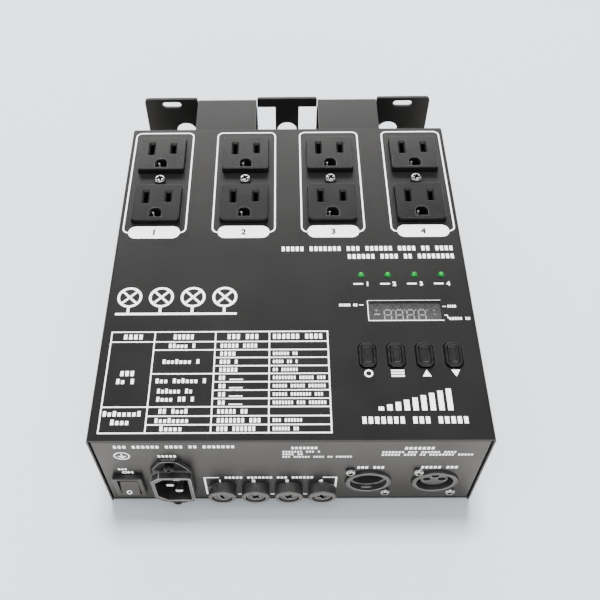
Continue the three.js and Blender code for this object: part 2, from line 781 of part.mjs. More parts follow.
// The slotted cap, with the sleeve that grips the fuse.
function fuseCap() {
  const cap = fuseCapDiameter / 2;
  const grip = fuseGripDiameter / 2;
  const socket = fuseDiameter / 2 + seatGap;
  const body = turned([
    [0, fuseCapFront], [cap, fuseCapFront], [cap, fuseCapRear], [grip, fuseCapRear],
    [grip, fuseGripRear], [socket, fuseGripRear], [socket, fuseFront - seatGap], [0, fuseFront - seatGap],
  ]);
  const slot = block([-fuseSlotLength / 2, fuseCapFront - cutOverrun, -fuseSlotWidth / 2],
    [fuseSlotLength / 2, fuseCapFront + fuseSlotDepth, fuseSlotWidth / 2]);
  return cut(body, [slot]);
}

const fuseLink = () => rodY(fuseDiameter / 2, fuseFront, fuseRear, screwSteps);

// Places of the three contacts about a signal socket's axis.
const contactPlaces = [[-contactRadius, 0], [contactRadius, 0], [0, contactRadius]];
const socketSeat = chassisSheet + 2 * seatGap;

// The shell of a signal socket: a flange behind the panel and a ring that stands through it.
function socketShell() {
  const front = -socketRise;
  const flange = frontal(roundedRect(socketFlangeWidth, socketFlangeLength, shroudCorner),
    socketSeat, socketSeat + socketFlangeThickness);
  const barrel = rodY(socketRingDiameter / 2, front, socketDepth, largeSteps);
  const cavity = rodY(socketBoreDiameter / 2, front - cutOverrun, front + socketCavityDepth, largeSteps);
  const holes = [-1, 1].map((side) => moved(
    rodY(shankHoleRadius, socketSeat - cutOverrun, socketDepth, screwSteps),
    side * socketScrewSpanX / 2, 0, -side * socketScrewSpanZ / 2));
  return cut(joined([flange, barrel]), [cavity, ...holes]);
}

function signalInSocket() {
  const floor = socketCavityDepth - socketRise;
  return cut(socketShell(), contactPlaces.map(([x, z]) => moved(
    rodY(contactPinDiameter / 2 + seatGap, floor - cutOverrun, socketDepth + cutOverrun, screwSteps),
    x, 0, z)));
}

const contactPin = () => rodY(contactPinDiameter / 2,
  socketCavityDepth - socketRise - contactPinLength, socketDepth + contactTailLength, screwSteps);

function signalOutSocket() {
  const insertFront = insertSink - socketRise;
  const insert = rodY(insertDiameter / 2, insertFront, socketDepth, largeSteps);
  const holes = contactPlaces.map(([x, z]) => moved(
    rodY(contactHoleDiameter / 2, insertFront - cutOverrun, insertFront + contactHoleDepth, screwSteps),
    x, 0, z));
  return cut(socketShell().add(insert), holes);
}

// The display's window: a clear block in the cover with a flange below the sheet.
function displayWindow() {
  const margin = 2 * windowFlangeMargin;
  const lens = upright(roundedRect(windowWidth, windowLength, windowCorner),
    -windowFlangeThickness, seatGap + coverSheet);
  const flange = upright(roundedRect(windowWidth + margin, windowLength + margin, windowCorner),
    -windowFlangeThickness, 0);
  return joined([lens, flange]);
}

// Heights below the cover that the control board and its parts share.
const flangeSeat = coverUnderside - seatGap;
const displayTop = flangeSeat - windowFlangeThickness - seatGap;
const displayBottom = displayTop - displayHeight;
const controlBoardTop = displayBottom - seatGap;
const keySwitchTop = controlBoardTop + keySwitchHeight;
const buttonBottom = keySwitchTop + buttonTravel + seatGap;

const displayModule = () => upright(
  roundedRect(displayWidth, displayLength, windowCorner), displayBottom, displayTop);

// A push button about its own axis, from its stem to its raised top.
function menuButton() {
  return joined([
    upright(buttonOutline(0), flangeSeat - buttonLipThickness, boxHeight + buttonRise),
    upright(buttonOutline(buttonLip), flangeSeat - buttonLipThickness, flangeSeat),
    block([-buttonStemWidth / 2, -buttonStemWidth / 2, buttonBottom],
      [buttonStemWidth / 2, buttonStemWidth / 2, flangeSeat]),
  ]);
}

// An indicator lamp: a domed lens with a collar below the cover and two leads.
function channelLamp() {
  const radius = lampDiameter / 2;
  const collarBottom = flangeSeat - lampCollarHeight;
  const domeBase = boxHeight + lampRise - radius;
  const dome = Array.from({ length: cornerSteps }, (_, index) => {
    const angle = (index + 1) / (cornerSteps + 1) * Math.PI / 2;
    return [radius * Math.cos(angle), domeBase + radius * Math.sin(angle)];
  });
  const lens = standing(turned([
    [0, collarBottom], [radius + lampCollar, collarBottom], [radius + lampCollar, flangeSeat],
    [radius, flangeSeat], [radius, domeBase], ...dome, [0, domeBase + radius],
  ], screwSteps));
  const half = lampLeadWidth / 2;
  const leads = [-1, 1].map((side) => block(
    [side * lampLeadSpacing / 2 - half, -half, controlBoardTop + seatGap],
    [side * lampLeadSpacing / 2 + half, half, collarBottom + seatGap]));
  return joined([lens, ...leads]);
}

function controlBoard() {
  const half = controlBoardWidth / 2;
  const front = buttonsY - controlBoardFromButtons;
  const rear = front + controlBoardLength;
  const bottom = controlBoardTop - boardThickness;
  const pieces = [block([-half, front, bottom], [half, rear, controlBoardTop])];
  const post = rodZ(controlPostDiameter / 2, bottom, flangeSeat, screwSteps);
  for (const x of [controlPostInset - half, half - controlPostInset]) {
    for (const y of [front + controlPostInset, rear - controlPostInset]) {
      pieces.push(moved(post, x, y, 0));
    }
  }
  const key = keySwitchWidth / 2;
  for (const x of controlXs.map((column) => column - controlsX)) {
    pieces.push(block([x - key, buttonsY - key, bottom], [x + key, buttonsY + key, keySwitchTop]));
  }
  return joined(pieces);
}

// The power board stands behind the fuse holders and below the outlets.
const powerBoardFront = panelFace + fuseBarrelLength + powerBoardMargin;
const powerBoardRear = rearFace - chassisSheet - powerBoardMargin;
const powerBoardDepth = powerBoardRear - powerBoardFront;
const powerBoardHalf = panelHalf - powerBoardMargin;
const powerBoardTop = chassisSheet + powerBoardLift + boardThickness;
const powerHeadroom = flangeSeat - receptacleDepth - powerBoardTop;
const heatSinkY = powerBoardFront + powerBoardDepth * heatSinkRowShare;
const heatSinkHalf = powerBoardHalf * heatSinkLengthShare;

function powerBoard() {
  const bottom = powerBoardTop - boardThickness;
  const post = rodZ(powerPostDiameter / 2, chassisSheet + seatGap, powerBoardTop, screwSteps);
  const pieces = [block([-powerBoardHalf, powerBoardFront, bottom],
    [powerBoardHalf, powerBoardRear, powerBoardTop])];
  for (const x of [powerPostInset - powerBoardHalf, powerBoardHalf - powerPostInset]) {
    for (const y of [powerBoardFront + powerPostInset, powerBoardRear - powerPostInset]) {
      pieces.push(moved(post, x, y, 0));
    }
  }
  const chokeHeight = powerHeadroom * chokeHeightShare;
  const choke = cut(rodZ(chokeDiameter / 2, bottom, powerBoardTop + chokeHeight),
    [rodZ(chokeBore / 2, powerBoardTop, powerBoardTop + chokeHeight + cutOverrun, screwSteps)]);
  const chokeY = powerBoardFront + powerBoardDepth * chokeRowShare;
  const capacitor = rodZ(capacitorDiameter / 2, bottom,
    powerBoardTop + powerHeadroom * capacitorHeightShare, roundSteps);
  const frontRowY = powerBoardFront + powerBoardDepth * capacitorRowShare;
  const triacRear = heatSinkY - heatSinkBase / 2 - seatGap;
  const channelXs = columnXs.map((column) => column * heatSinkLengthShare);
  for (const x of channelXs) {
    pieces.push(moved(choke, x, chokeY, 0));
    pieces.push(block([x - triacWidth / 2, triacRear - triacThickness, bottom],
      [x + triacWidth / 2, triacRear, powerBoardTop + triacHeight]));
  }
  const [supplyX, ...capacitorXs] = channelXs.slice(0, -1);
  for (const x of capacitorXs) pieces.push(moved(capacitor, x, frontRowY, 0));
  const [blockHalf, blockDepth] = [supplyBlockLength / 2, capacitorDiameter / 2];
  pieces.push(block([supplyX - blockHalf, frontRowY - blockDepth, bottom],
    [supplyX + blockHalf, frontRowY + blockDepth, powerBoardTop + powerHeadroom * supplyBlockHeightShare]));
  return joined(pieces);
}

// A finned bar that carries the triacs' heat away, standing on the power board.
function heatSink() {
  const bottom = powerBoardTop + seatGap;
  const top = bottom + powerHeadroom * heatSinkHeightShare;
  const half = heatSinkBase / 2;
  const pieces = [block([-heatSinkHalf, heatSinkY - half, bottom], [heatSinkHalf, heatSinkY + half, top])];
  const finPitch = (top - bottom - heatSinkFinThickness) / (heatSinkFinCount - 1);
  for (let index = 0; index < heatSinkFinCount; index += 1) {
    const low = bottom + index * finPitch;
    pieces.push(block([-heatSinkHalf, heatSinkY, low],
      [heatSinkHalf, heatSinkY + half + heatSinkFinDepth, low + heatSinkFinThickness]));
  }
  return joined(pieces);
}

// Sheet metal
addPiece('top_cover', topCover(), blackPaint);
addPiece('front_panel', frontPanel(), panelPaint);
addPiece('base_chassis', baseChassis(), panelPaint);
addPiece('hanging_bracket', hangingBracket(), blackPaint);

// Outlets, each held by the screw between its faces
columnXs.forEach((x, index) => {
  const outlet = new THREE.Group();
  outlet.position.set(x, pairY, 0);
  model.add(outlet);
  addPiece(`duplex_receptacle_${index + 1}`, duplexReceptacle(), greyPlastic, [0, 0, flangeSeat], outlet);
  const fastener = standing(screw(screwHeadDiameter, screwShankDiameter, outletScrewLength))
    .rotate([180, 0, 0]);
  addPiece(`receptacle_screw_${index + 1}`, fastener, bareSteel, [0, 0, boxHeight + seatGap], outlet);
});

// Mains inlet with its three blades and two screws
const inlet = new THREE.Group();
inlet.position.set(inletX, fittingSeat, inletZ);
model.add(inlet);
addPiece('power_inlet', powerInlet(), blackPlastic, [0, 0, 0], inlet);
for (const [name, x, z] of inletPins) addPiece(name, inletPin(), bareSteel, [x, 0, z], inlet);
[1, -1].forEach((side, index) => {
  addPiece(`inlet_screw_${index + 1}`, fittingScrew(), bareSteel,
    [inletX, screwSeatOnInlet, inletZ + side * inletScrewPitch / 2]);
});

// Rocker switch
addPiece('switch_housing', switchHousing(), blackPlastic, [switchX, fittingSeat, switchZ]);
addPiece('switch_rocker', switchRocker(), blackPlastic,
  [switchX, fittingSeat + rockerPivotY, switchZ]);

// Fuses
fuseXs.forEach((x, index) => {
  const place = new THREE.Group();
  place.position.set(x, fittingSeat, fuseZ);
  model.add(place);
  addPiece(`fuse_holder_${index + 1}`, fuseHolder(), blackPlastic, [0, 0, 0], place);
  addPiece(`fuse_cap_${index + 1}`, fuseCap(), greyPlastic, [0, 0, 0], place);
  addPiece(`fuse_${index + 1}`, fuseLink(), glass, [0, 0, 0], place);
});

// Signal sockets
addPiece('signal_in_socket', signalInSocket(), blackPlastic, [signalInX, fittingSeat, signalZ]);
contactPlaces.forEach(([x, z], index) => {
  addPiece(`signal_in_pin_${index + 1}`, contactPin(), brass,
    [signalInX + x, fittingSeat, signalZ + z]);
});
addPiece('signal_out_socket', signalOutSocket(), blackPlastic, [signalOutX, fittingSeat, signalZ]);
[signalInX, signalOutX].forEach((x, socket) => {
  [-1, 1].forEach((side, index) => {
    addPiece(`socket_screw_${2 * socket + index + 1}`, fittingScrew(), bareSteel,
      [x + side * socketScrewSpanX / 2, screwSeatOnPanel, signalZ - side * socketScrewSpanZ / 2]);
  });
});

// Display, buttons and lamps
addPiece('display_window', displayWindow(), smokedLens, [controlsX, displayY, flangeSeat]);
addPiece('display_module', displayModule(), greyPlastic, [controlsX, displayY, 0]);
controlXs.forEach((x, index) => {
  addPiece(`menu_button_${index + 1}`, menuButton(), blackPlastic, [x, buttonsY, 0]);
  addPiece(`channel_led_${index + 1}`, channelLamp(), greenLens, [x, lampsY, 0]);
});

// Boards and heat sink
addPiece('control_board', controlBoard(), boardGreen, [controlsX, 0, 0]);
addPiece('power_board', powerBoard(), boardGreen);
addPiece('heat_sink', heatSink(), aluminium);

// Screws of the cover and of the bracket
let coverScrewNumber = 1;
for (const side of [-1, 1]) {
  const fastener = fittingScrew().rotate([0, 0, side > 0 ? 90 : -90]);
  for (const y of coverScrewYs) {
    addPiece(`cover_screw_${coverScrewNumber}`, fastener, bareSteel,
      [side * (halfWidth + seatGap), y, coverScrewZ]);
    coverScrewNumber += 1;
  }
}
webXs.forEach((x, index) => {
  const fastener = screw(bracketScrewHead, bracketScrewDiameter, bracketScrewLength).rotate([0, 0, 180]);
  addPiece(`bracket_screw_${index + 1}`, fastener, bareSteel,
    [x, footSeat + bracketSheet + seatGap, bracketScrewZ]);
});

export default model;
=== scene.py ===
# %% [markdown]
# # Dressing a four-channel dimmer pack
# A dimmer pack is a folded steel box that feeds stage lamps from eight mains outlets. The packed
# model already holds every piece at its real size, so this lesson gives each one its true edges,
# its finish and its print. Everything is in metres, with +Z up and the front panel facing -Y.

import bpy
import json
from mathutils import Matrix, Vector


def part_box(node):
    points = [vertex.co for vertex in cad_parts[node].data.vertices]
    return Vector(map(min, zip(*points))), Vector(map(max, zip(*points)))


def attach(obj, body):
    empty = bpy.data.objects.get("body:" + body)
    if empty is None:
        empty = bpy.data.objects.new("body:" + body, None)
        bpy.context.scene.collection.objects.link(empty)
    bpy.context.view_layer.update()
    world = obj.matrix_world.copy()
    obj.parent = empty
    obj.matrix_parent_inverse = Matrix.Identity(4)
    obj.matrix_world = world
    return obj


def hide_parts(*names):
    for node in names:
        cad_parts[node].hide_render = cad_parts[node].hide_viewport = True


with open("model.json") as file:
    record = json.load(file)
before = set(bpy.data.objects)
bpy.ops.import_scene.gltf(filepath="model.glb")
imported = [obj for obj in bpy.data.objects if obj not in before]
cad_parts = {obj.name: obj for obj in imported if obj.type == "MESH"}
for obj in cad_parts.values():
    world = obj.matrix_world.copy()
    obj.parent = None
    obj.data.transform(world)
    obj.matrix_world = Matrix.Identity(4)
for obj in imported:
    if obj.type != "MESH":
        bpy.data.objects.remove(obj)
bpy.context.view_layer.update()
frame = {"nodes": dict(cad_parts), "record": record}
nodes = frame["nodes"]
print("pieces in the frame:", len(nodes))

# %% Libraries and the unit
import json
import math

import bmesh
import bpy
from mathutils import Matrix, Vector

MM = 0.001

# %% [markdown]
# ## The camera first
# The photograph looks down on the front edge with a short telephoto lens. The three turns and the
# place below were worked out from the corners of the box, so the render lies over the photograph.
# A small shift of the lens stands for the picture's crop.

# %% The photograph's view
PHOTO_WIDTH = 600
FOCAL_PIXELS = 801.2
MIDDLE_PIXEL = (275.95, 293.24)
CAMERA_PLACE = Vector((-2.63, -266.74, 404.08)) * MM
LOOK_DOWN = math.radians(53.595)
LOOK_ASIDE = math.radians(0.966)
LOOK_ROLL = math.radians(1.099)

yaw = Matrix.Rotation(LOOK_ASIDE, 3, "Z")
pitch = Matrix.Rotation(-LOOK_DOWN, 3, "X")
roll = Matrix.Rotation(LOOK_ROLL, 3, "Y")
turn = yaw @ pitch @ roll
right, forward, up = turn.col[0], turn.col[1], turn.col[2]

lens = bpy.data.cameras.new("photo_lens")
lens.sensor_width = 36
lens.lens = lens.sensor_width * FOCAL_PIXELS / PHOTO_WIDTH
lens.shift_x = 0.5 - MIDDLE_PIXEL[0] / PHOTO_WIDTH
lens.shift_y = MIDDLE_PIXEL[1] / PHOTO_WIDTH - 0.5
lens.clip_start = 0.01
camera = bpy.data.objects.new("photo_camera", lens)
bpy.context.scene.collection.objects.link(camera)
axes = Matrix((right, up, -forward)).transposed()
camera.matrix_world = Matrix.Translation(CAMERA_PLACE) @ axes.to_4x4()
bpy.context.scene.camera = camera
print("lens:", round(lens.lens, 2), "mm")

# %% [markdown]
# ## A pale floor and soft light
# The picture has no horizon: floor and backdrop are one pale grey. The floor has two colours, a cool
# one that the camera sees and a warmer one for the light that it throws back at the box. The key
# light stands high behind the box and throws the one soft shadow forwards; it is kept out of the
# gloss, where its shape would show. A wide softbox overhead and a low one behind lay the slow gleam
# over the rear of the top, and the floor shows in the gloss of the front panel.

# %% Floor
def floor_material(name, seen, mirrored, roughness):
    """A floor with one colour to the camera and another in the gloss of what stands on it."""
    material = bpy.data.materials.new(name)
    material.use_nodes = True
    tree = material.node_tree
    shader = tree.nodes["Principled BSDF"]
    ray = tree.nodes.new("ShaderNodeLightPath")
    colours = tree.nodes.new("ShaderNodeMix")
    colours.data_type = "RGBA"
    colours.inputs["A"].default_value = (*mirrored, 1)
    colours.inputs["B"].default_value = (*seen, 1)
    tree.links.new(ray.outputs["Is Camera Ray"], colours.inputs["Factor"])
    tree.links.new(colours.outputs["Result"], shader.inputs["Base Color"])
    shader.inputs["Roughness"].default_value = roughness
    return material


FLOOR_SIZE = 8.0
FLOOR_COLOUR = (0.745, 0.80, 0.85)
FLOOR_GLEAM = (0.80, 0.79, 0.775)
FLOOR_ROUGHNESS = 0.9
bpy.ops.object.select_all(action="DESELECT")
bpy.ops.mesh.primitive_plane_add(size=FLOOR_SIZE, location=(0, 0, 0))
floor = bpy.context.active_object
floor.name = "floor"
floor.data.materials.append(floor_material("pale_floor", FLOOR_COLOUR, FLOOR_GLEAM, FLOOR_ROUGHNESS))
print("floor:", FLOOR_SIZE, "m across")

# %% Lights
BOX_MIDDLE = (0, 0, 0.05)
SOFTBOXES = {
    "key_softbox": ((0, 0.62, 2.98), (0.65, 0.65), 165),
    "overhead_softbox": ((0.1, -0.9, 2.6), (3.0, 3.0), 43),
    "rear_softbox": ((-0.2, 2.4, 1.25), (2.4, 0.9), 70),
    "left_softbox": ((-2.2, -0.4, 1.3), (1.4, 1.2), 12),
    "front_softbox": ((0.4, -2.4, 0.9), (2.0, 0.8), 22),
}
SKY_COLOUR = (0.95, 0.97, 1.0, 1)
SKY_STRENGTH = 0.45


def softbox(name, place, size, power):
    """A rectangular lamp that looks at the middle of the box."""
    lamp = bpy.data.lights.new(name, "AREA")
    lamp.shape = "RECTANGLE"
    lamp.size, lamp.size_y = size
    lamp.energy = power
    holder = bpy.data.objects.new(name, lamp)
    bpy.context.scene.collection.objects.link(holder)
    holder.location = place
    look = Vector(BOX_MIDDLE) - Vector(place)
    holder.rotation_euler = look.to_track_quat("-Z", "Y").to_euler()
    return holder


lamps = {name: softbox(name, *values) for name, values in SOFTBOXES.items()}
lamps["key_softbox"].visible_glossy = False
world = bpy.data.worlds.new("studio")
world.use_nodes = True
world.node_tree.nodes["Background"].inputs["Color"].default_value = SKY_COLOUR
world.node_tree.nodes["Background"].inputs["Strength"].default_value = SKY_STRENGTH
bpy.context.scene.world = world
print("softboxes:", len(lamps))

# %% [markdown]
# ## Surface effects as node groups
# Paint and moulded plastic share three effects: a fine texture in the surface, a slow drift of
# tone, and bright edges, which are part wear and part painted highlight. Each is a node group with
# its own inputs, built once. They read Object coordinates, which stay put because every piece keeps
# its place in its mesh. The bright edges follow a mark that each piece carries on the narrow faces of
# its radii.

# %% Helpers for node groups
def new_group(name, inputs, outputs):
    """An empty node group with the sockets that are listed as (label, kind[, value])."""
    group = bpy.data.node_groups.new(name, "ShaderNodeTree")
    for label, kind, value in inputs:
        socket = group.interface.new_socket(label, in_out="INPUT", socket_type=kind)
        socket.default_value = value
    for label, kind in outputs:
        group.interface.new_socket(label, in_out="OUTPUT", socket_type=kind)
    entry = group.nodes.new("NodeGroupInput")
    exit_node = group.nodes.new("NodeGroupOutput")
    return group, entry, exit_node


def wire(tree, *links):
    """Joins an output to an input, for each (node, output, node, input)."""
    for source, output, target, socket in links:
        tree.links.new(source.outputs[output], target.inputs[socket])


FLOAT = "NodeSocketFloat"
COLOUR = "NodeSocketColor"
VECTOR = "NodeSocketVector"

# %% Fine texture of paint and moulded plastic
texture_group, entry, exit_node = new_group(
    "fine_texture", [("Grain size", FLOAT, 0.5 * MM), ("Depth", FLOAT, 0.02 * MM)], [("Normal", VECTOR)])
place = texture_group.nodes.new("ShaderNodeTexCoord")
rate = texture_group.nodes.new("ShaderNodeMath")
rate.operation = "DIVIDE"
rate.inputs[0].default_value = 1
grain = texture_group.nodes.new("ShaderNodeTexNoise")
grain.inputs["Detail"].default_value = 3
bump = texture_group.nodes.new("ShaderNodeBump")
bump.inputs["Strength"].default_value = 1
wire(texture_group, (entry, "Grain size", rate, 1), (rate, 0, grain, "Scale"),
     (place, "Object", grain, "Vector"), (grain, "Fac", bump, "Height"),
     (entry, "Depth", bump, "Distance"), (bump, "Normal", exit_node, "Normal"))
print("fine texture:", len(texture_group.nodes), "nodes")

# %% Slow drift of tone and gloss
drift_group, entry, exit_node = new_group(
    "tone_drift",
    [("Dark", COLOUR, (0, 0, 0, 1)), ("Light", COLOUR, (1, 1, 1, 1)), ("Patch size", FLOAT, 30 * MM),
     ("Smooth", FLOAT, 0.4), ("Rough", FLOAT, 0.5)],
    [("Color", COLOUR), ("Roughness", FLOAT)])
place = drift_group.nodes.new("ShaderNodeTexCoord")
rate = drift_group.nodes.new("ShaderNodeMath")
rate.operation = "DIVIDE"
rate.inputs[0].default_value = 1
patches = drift_group.nodes.new("ShaderNodeTexNoise")
patches.inputs["Detail"].default_value = 4
spread = drift_group.nodes.new("ShaderNodeMapRange")
spread.inputs["From Min"].default_value = 0.3
spread.inputs["From Max"].default_value = 0.7
tones = drift_group.nodes.new("ShaderNodeMix")
tones.data_type = "RGBA"
gloss = drift_group.nodes.new("ShaderNodeMapRange")
wire(drift_group, (entry, "Patch size", rate, 1), (rate, 0, patches, "Scale"),
     (place, "Object", patches, "Vector"), (patches, "Fac", spread, "Value"),
     (spread, "Result", tones, "Factor"), (entry, "Dark", tones, "A"), (entry, "Light", tones, "B"),
     (tones, "Result", exit_node, "Color"), (spread, "Result", gloss, "Value"),
     (entry, "Smooth", gloss, "To Min"), (entry, "Rough", gloss, "To Max"),
     (gloss, "Result", exit_node, "Roughness"))
print("tone drift:", len(drift_group.nodes), "nodes")

# %% Bright edges: wear and painted highlight
BREAK_SIZE = 4 * MM
wear_and_gleam_group, entry, exit_node = new_group(
    "edge_wear_and_gleam",
    [("Color", COLOUR, (0, 0, 0, 1)), ("Worn and lit", COLOUR, (1, 1, 1, 1)), ("Amount", FLOAT, 0.3)],
    [("Color", COLOUR)])
# Where a rim is marked, the colour moves towards the rim tone: wear, and a painted highlight where edges
# catch light.
rim_mark = wear_and_gleam_group.nodes.new("ShaderNodeAttribute")
rim_mark.attribute_name = "rim"
place = wear_and_gleam_group.nodes.new("ShaderNodeTexCoord")
breaks = wear_and_gleam_group.nodes.new("ShaderNodeTexNoise")
breaks.inputs["Scale"].default_value = 1 / BREAK_SIZE
patchy = wear_and_gleam_group.nodes.new("ShaderNodeMath")
patchy.operation = "MULTIPLY"
amount = wear_and_gleam_group.nodes.new("ShaderNodeMath")
amount.operation = "MULTIPLY"
worn_and_lit = wear_and_gleam_group.nodes.new("ShaderNodeMix")
worn_and_lit.data_type = "RGBA"
wire(wear_and_gleam_group, (place, "Object", breaks, "Vector"), (rim_mark, "Fac", patchy, 0),
     (breaks, "Fac", patchy, 1), (patchy, 0, amount, 0), (entry, "Amount", amount, 1),
     (amount, 0, worn_and_lit, "Factor"), (entry, "Color", worn_and_lit, "A"), (entry, "Worn and lit", worn_and_lit, "B"),
     (worn_and_lit, "Result", exit_node, "Color"))
print("edge wear:", len(wear_and_gleam_group.nodes), "nodes")

# %% [markdown]
# ## Finishes
# Each finish is a Principled shader fed by those groups. What is the same all over, such as the
# metal share, the gloss and the glow, is set on the shader itself. A finish is given by its darkest
# and lightest tone and its least and greatest roughness. Its grain is a size and a depth, and its
# bright rims, part wear and part painted highlight, an amount and a tone.

# %% One finish
GLEAM_TINT = (1, 0.96, 0.92, 1)


def tone(value):
    """A colour, or the grey of one brightness."""
    return (value, value, value, 1) if isinstance(value, float) else (*value, 1)


def finish(name, tones, roughness, grain=(0.5, 0.012), patch=30, rim_wear_and_gleam=(0.0, 0.35),
           metal=0.0, gloss=0.5, alpha=1.0, glow=0.0):
    """A painted, moulded or plated surface. Sizes are in millimetres."""
    dark, light = (tone(value) for value in tones)
    material = bpy.data.materials.new(name)
    material.use_nodes = True
    tree = material.node_tree
    shader = tree.nodes["Principled BSDF"]
    shader.inputs["Metallic"].default_value = metal
    shader.inputs["Specular IOR Level"].default_value = gloss
    shader.inputs["Specular Tint"].default_value = GLEAM_TINT
    shader.inputs["Alpha"].default_value = alpha
    shader.inputs["Emission Color"].default_value = light
    shader.inputs["Emission Strength"].default_value = glow
    drift = tree.nodes.new("ShaderNodeGroup")
    drift.node_tree = drift_group
    drift.inputs["Dark"].default_value = dark
    drift.inputs["Light"].default_value = light
    drift.inputs["Patch size"].default_value = patch * MM
    drift.inputs["Smooth"].default_value = roughness[0]
    drift.inputs["Rough"].default_value = roughness[1]
    edges = tree.nodes.new("ShaderNodeGroup")
    edges.node_tree = wear_and_gleam_group
    edges.inputs["Worn and lit"].default_value = tone(rim_wear_and_gleam[1])
    edges.inputs["Amount"].default_value = rim_wear_and_gleam[0]
    texture = tree.nodes.new("ShaderNodeGroup")
    texture.node_tree = texture_group
    texture.inputs["Grain size"].default_value = grain[0] * MM
    texture.inputs["Depth"].default_value = grain[1] * MM
    wire(tree, (drift, "Color", edges, "Color"), (edges, "Color", shader, "Base Color"),
         (drift, "Roughness", shader, "Roughness"), (texture, "Normal", shader, "Normal"))
    return material


# %% Paint
PAINT_GRAIN = (0.45, 0.014)
SMOOTH_PAINT_GRAIN = (0.45, 0.012)
# Each finish's rim tone lightens its marked edges: wear, and a painted highlight where edges catch light.
cover_paint = finish("cover_powder_coat", (0.005, 0.007), (0.4, 0.46), PAINT_GRAIN, 25, (0.5, 0.1),
                     gloss=0.35)
panel_paint = finish("panel_powder_coat", (0.009, 0.012), (0.34, 0.42), SMOOTH_PAINT_GRAIN, 25, (0.5, 0.1))
# The base's rims get a strong light tone: a painted highlight along its front edge, with wear.
base_paint = finish("base_powder_coat", (0.012, 0.016), (0.3, 0.38), SMOOTH_PAINT_GRAIN, 25, (1.6, 0.3))
bracket_paint = finish("bracket_powder_coat", (0.005, 0.007), (0.4, 0.46), PAINT_GRAIN, 25, (0.5, 0.1),
                       gloss=0.31)
# The white ink glows a little: painted brightness on top of what the lamps give it.
white_ink = finish("white_ink", (0.95, 0.97), (0.5, 0.6), (0.5, 0.002), 10, glow=0.75)
dark_ink = finish("dark_ink", (0.02, 0.03), (0.5, 0.6), (0.5, 0.002), 10)
# The unlit segments glow a little as well: painted brightness, with no light behind them.
segment_ink = finish("unlit_segments", (0.85, 0.95), (0.4, 0.5), (0.5, 0.002), 6, glow=0.25)
print("finishes so far:", len(bpy.data.materials))

# %% Plastic, rubber and glass
# The mouldings' rim tones paint the highlights on their collars, rings and edges, with some wear.
outlet_plastic = finish("outlet_moulding", (0.006, 0.008), (0.27, 0.3), (0.3, 0.008), 12, (0.9, 0.17),
                        gloss=0.4)
inlet_plastic = finish("inlet_moulding", (0.012, 0.018), (0.3, 0.4), (0.3, 0.004), 9, (1.4, 0.45),
                       gloss=0.95)
# A near-black finish that paints shade into recesses: screw crosses, the switch's well, fuse slots and the
# inlet's ears.
painted_recess_shade = finish("painted_recess_shade", (0.004, 0.006), (0.5, 0.6), (0.25, 0.02), 6, gloss=0.2)
switch_plastic = finish("switch_moulding", (0.012, 0.015), (0.3, 0.42), (0.3, 0.005), 8, (0.9, 0.2),
                        gloss=0.6)
fuse_plastic = finish("fuse_moulding", (0.036, 0.048), (0.3, 0.4), (0.3, 0.005), 8, (1.8, 0.55), gloss=1.0)
socket_plastic = finish("socket_moulding", (0.032, 0.042), (0.3, 0.4), (0.3, 0.005), 8, (1.8, 0.55),
                        gloss=1.0)
button_rubber = finish("button_rubber", (0.004, 0.008), (0.26, 0.4), (0.35, 0.03), 2, (1.2, 0.2))
board_green = finish("solder_mask", ((0.02, 0.13, 0.06), (0.03, 0.17, 0.08)), (0.3, 0.4), (0.8, 0.02), 12)
display_face = finish("display_face", (0.06, 0.26), (0.35, 0.45), (0.25, 0.006), 0.8)
lamp_green = finish("green_lens", ((0.001, 0.1, 0.012), (0.004, 0.34, 0.05)), (0.12, 0.2), (0.5, 0.001), 1.2,
                    gloss=0.3, glow=0.3)
fuse_glass = finish("fuse_glass", (0.75, 0.85), (0.05, 0.1), (0.8, 0.002), 5)
window_lens = finish("smoked_lens", (0.02, 0.03), (0.06, 0.12), (0.8, 0.001), 12, alpha=0.3)
print("finishes so far:", len(bpy.data.materials))

# %% Metal
PLATED_GRAIN = (0.3, 0.004)
bright_nickel = finish("bright_nickel", (0.55, 0.7), (0.2, 0.3), PLATED_GRAIN, 3, metal=1)
# The screws' rims are lightened nearly to white: a painted highlight around their heads and recesses.
screw_nickel = finish("screw_nickel", (0.24, 0.7), (0.14, 0.24), PLATED_GRAIN, 1.2, (1.8, 0.98), metal=1)
# The inlet screws are dark, with their rims lightened as a painted glint.
dull_nickel = finish("dull_nickel", (0.006, 0.012), (0.3, 0.4), PLATED_GRAIN, 3, (0.8, 0.4), metal=0.5)
spring_nickel = finish("spring_nickel", (0.03, 0.2), (0.2, 0.3), PLATED_GRAIN, 1, metal=1)
black_zinc = finish("black_zinc", (0.03, 0.04), (0.3, 0.4), PLATED_GRAIN, 4, (0.5, 0.3), metal=0.6)
bare_aluminium = finish("extruded_aluminium", (0.55, 0.65), (0.3, 0.4), (0.6, 0.008), 10, metal=1)
print("finishes in all:", len(bpy.data.materials))

# %% [markdown]
# ## How the pieces are modelled
# The real pack is made of folded sheet, moulded blocks and turned rods. Here too each piece starts
# as a plain block or rod at its true size and place, is opened in edit mode to be cut, folded and
# stepped, and gets its small radii from modifiers. These helpers wrap the operators, so that each
# step below stays one short line. All their lengths are in millimetres.

# %% Picking, placing and copying
def deselect():
    """Nothing stays selected, so that an operator acts on its own piece alone."""
    bpy.ops.object.select_all(action="DESELECT")


def pick(piece, *others):
    """Selects only these pieces, with the first one active."""
    deselect()
    for chosen in (piece, *others):
        chosen.select_set(True)
    bpy.context.view_layer.objects.active = piece


def settle(piece):
    """Writes a piece's place, turn and scale into its mesh."""
    pick(piece)
    bpy.ops.object.transform_apply(location=True, rotation=True, scale=True)
    return piece


def newest(name):
    """Names the piece that an operator has just added."""
    piece = bpy.context.active_object
    piece.name = piece.data.name = name
    return piece


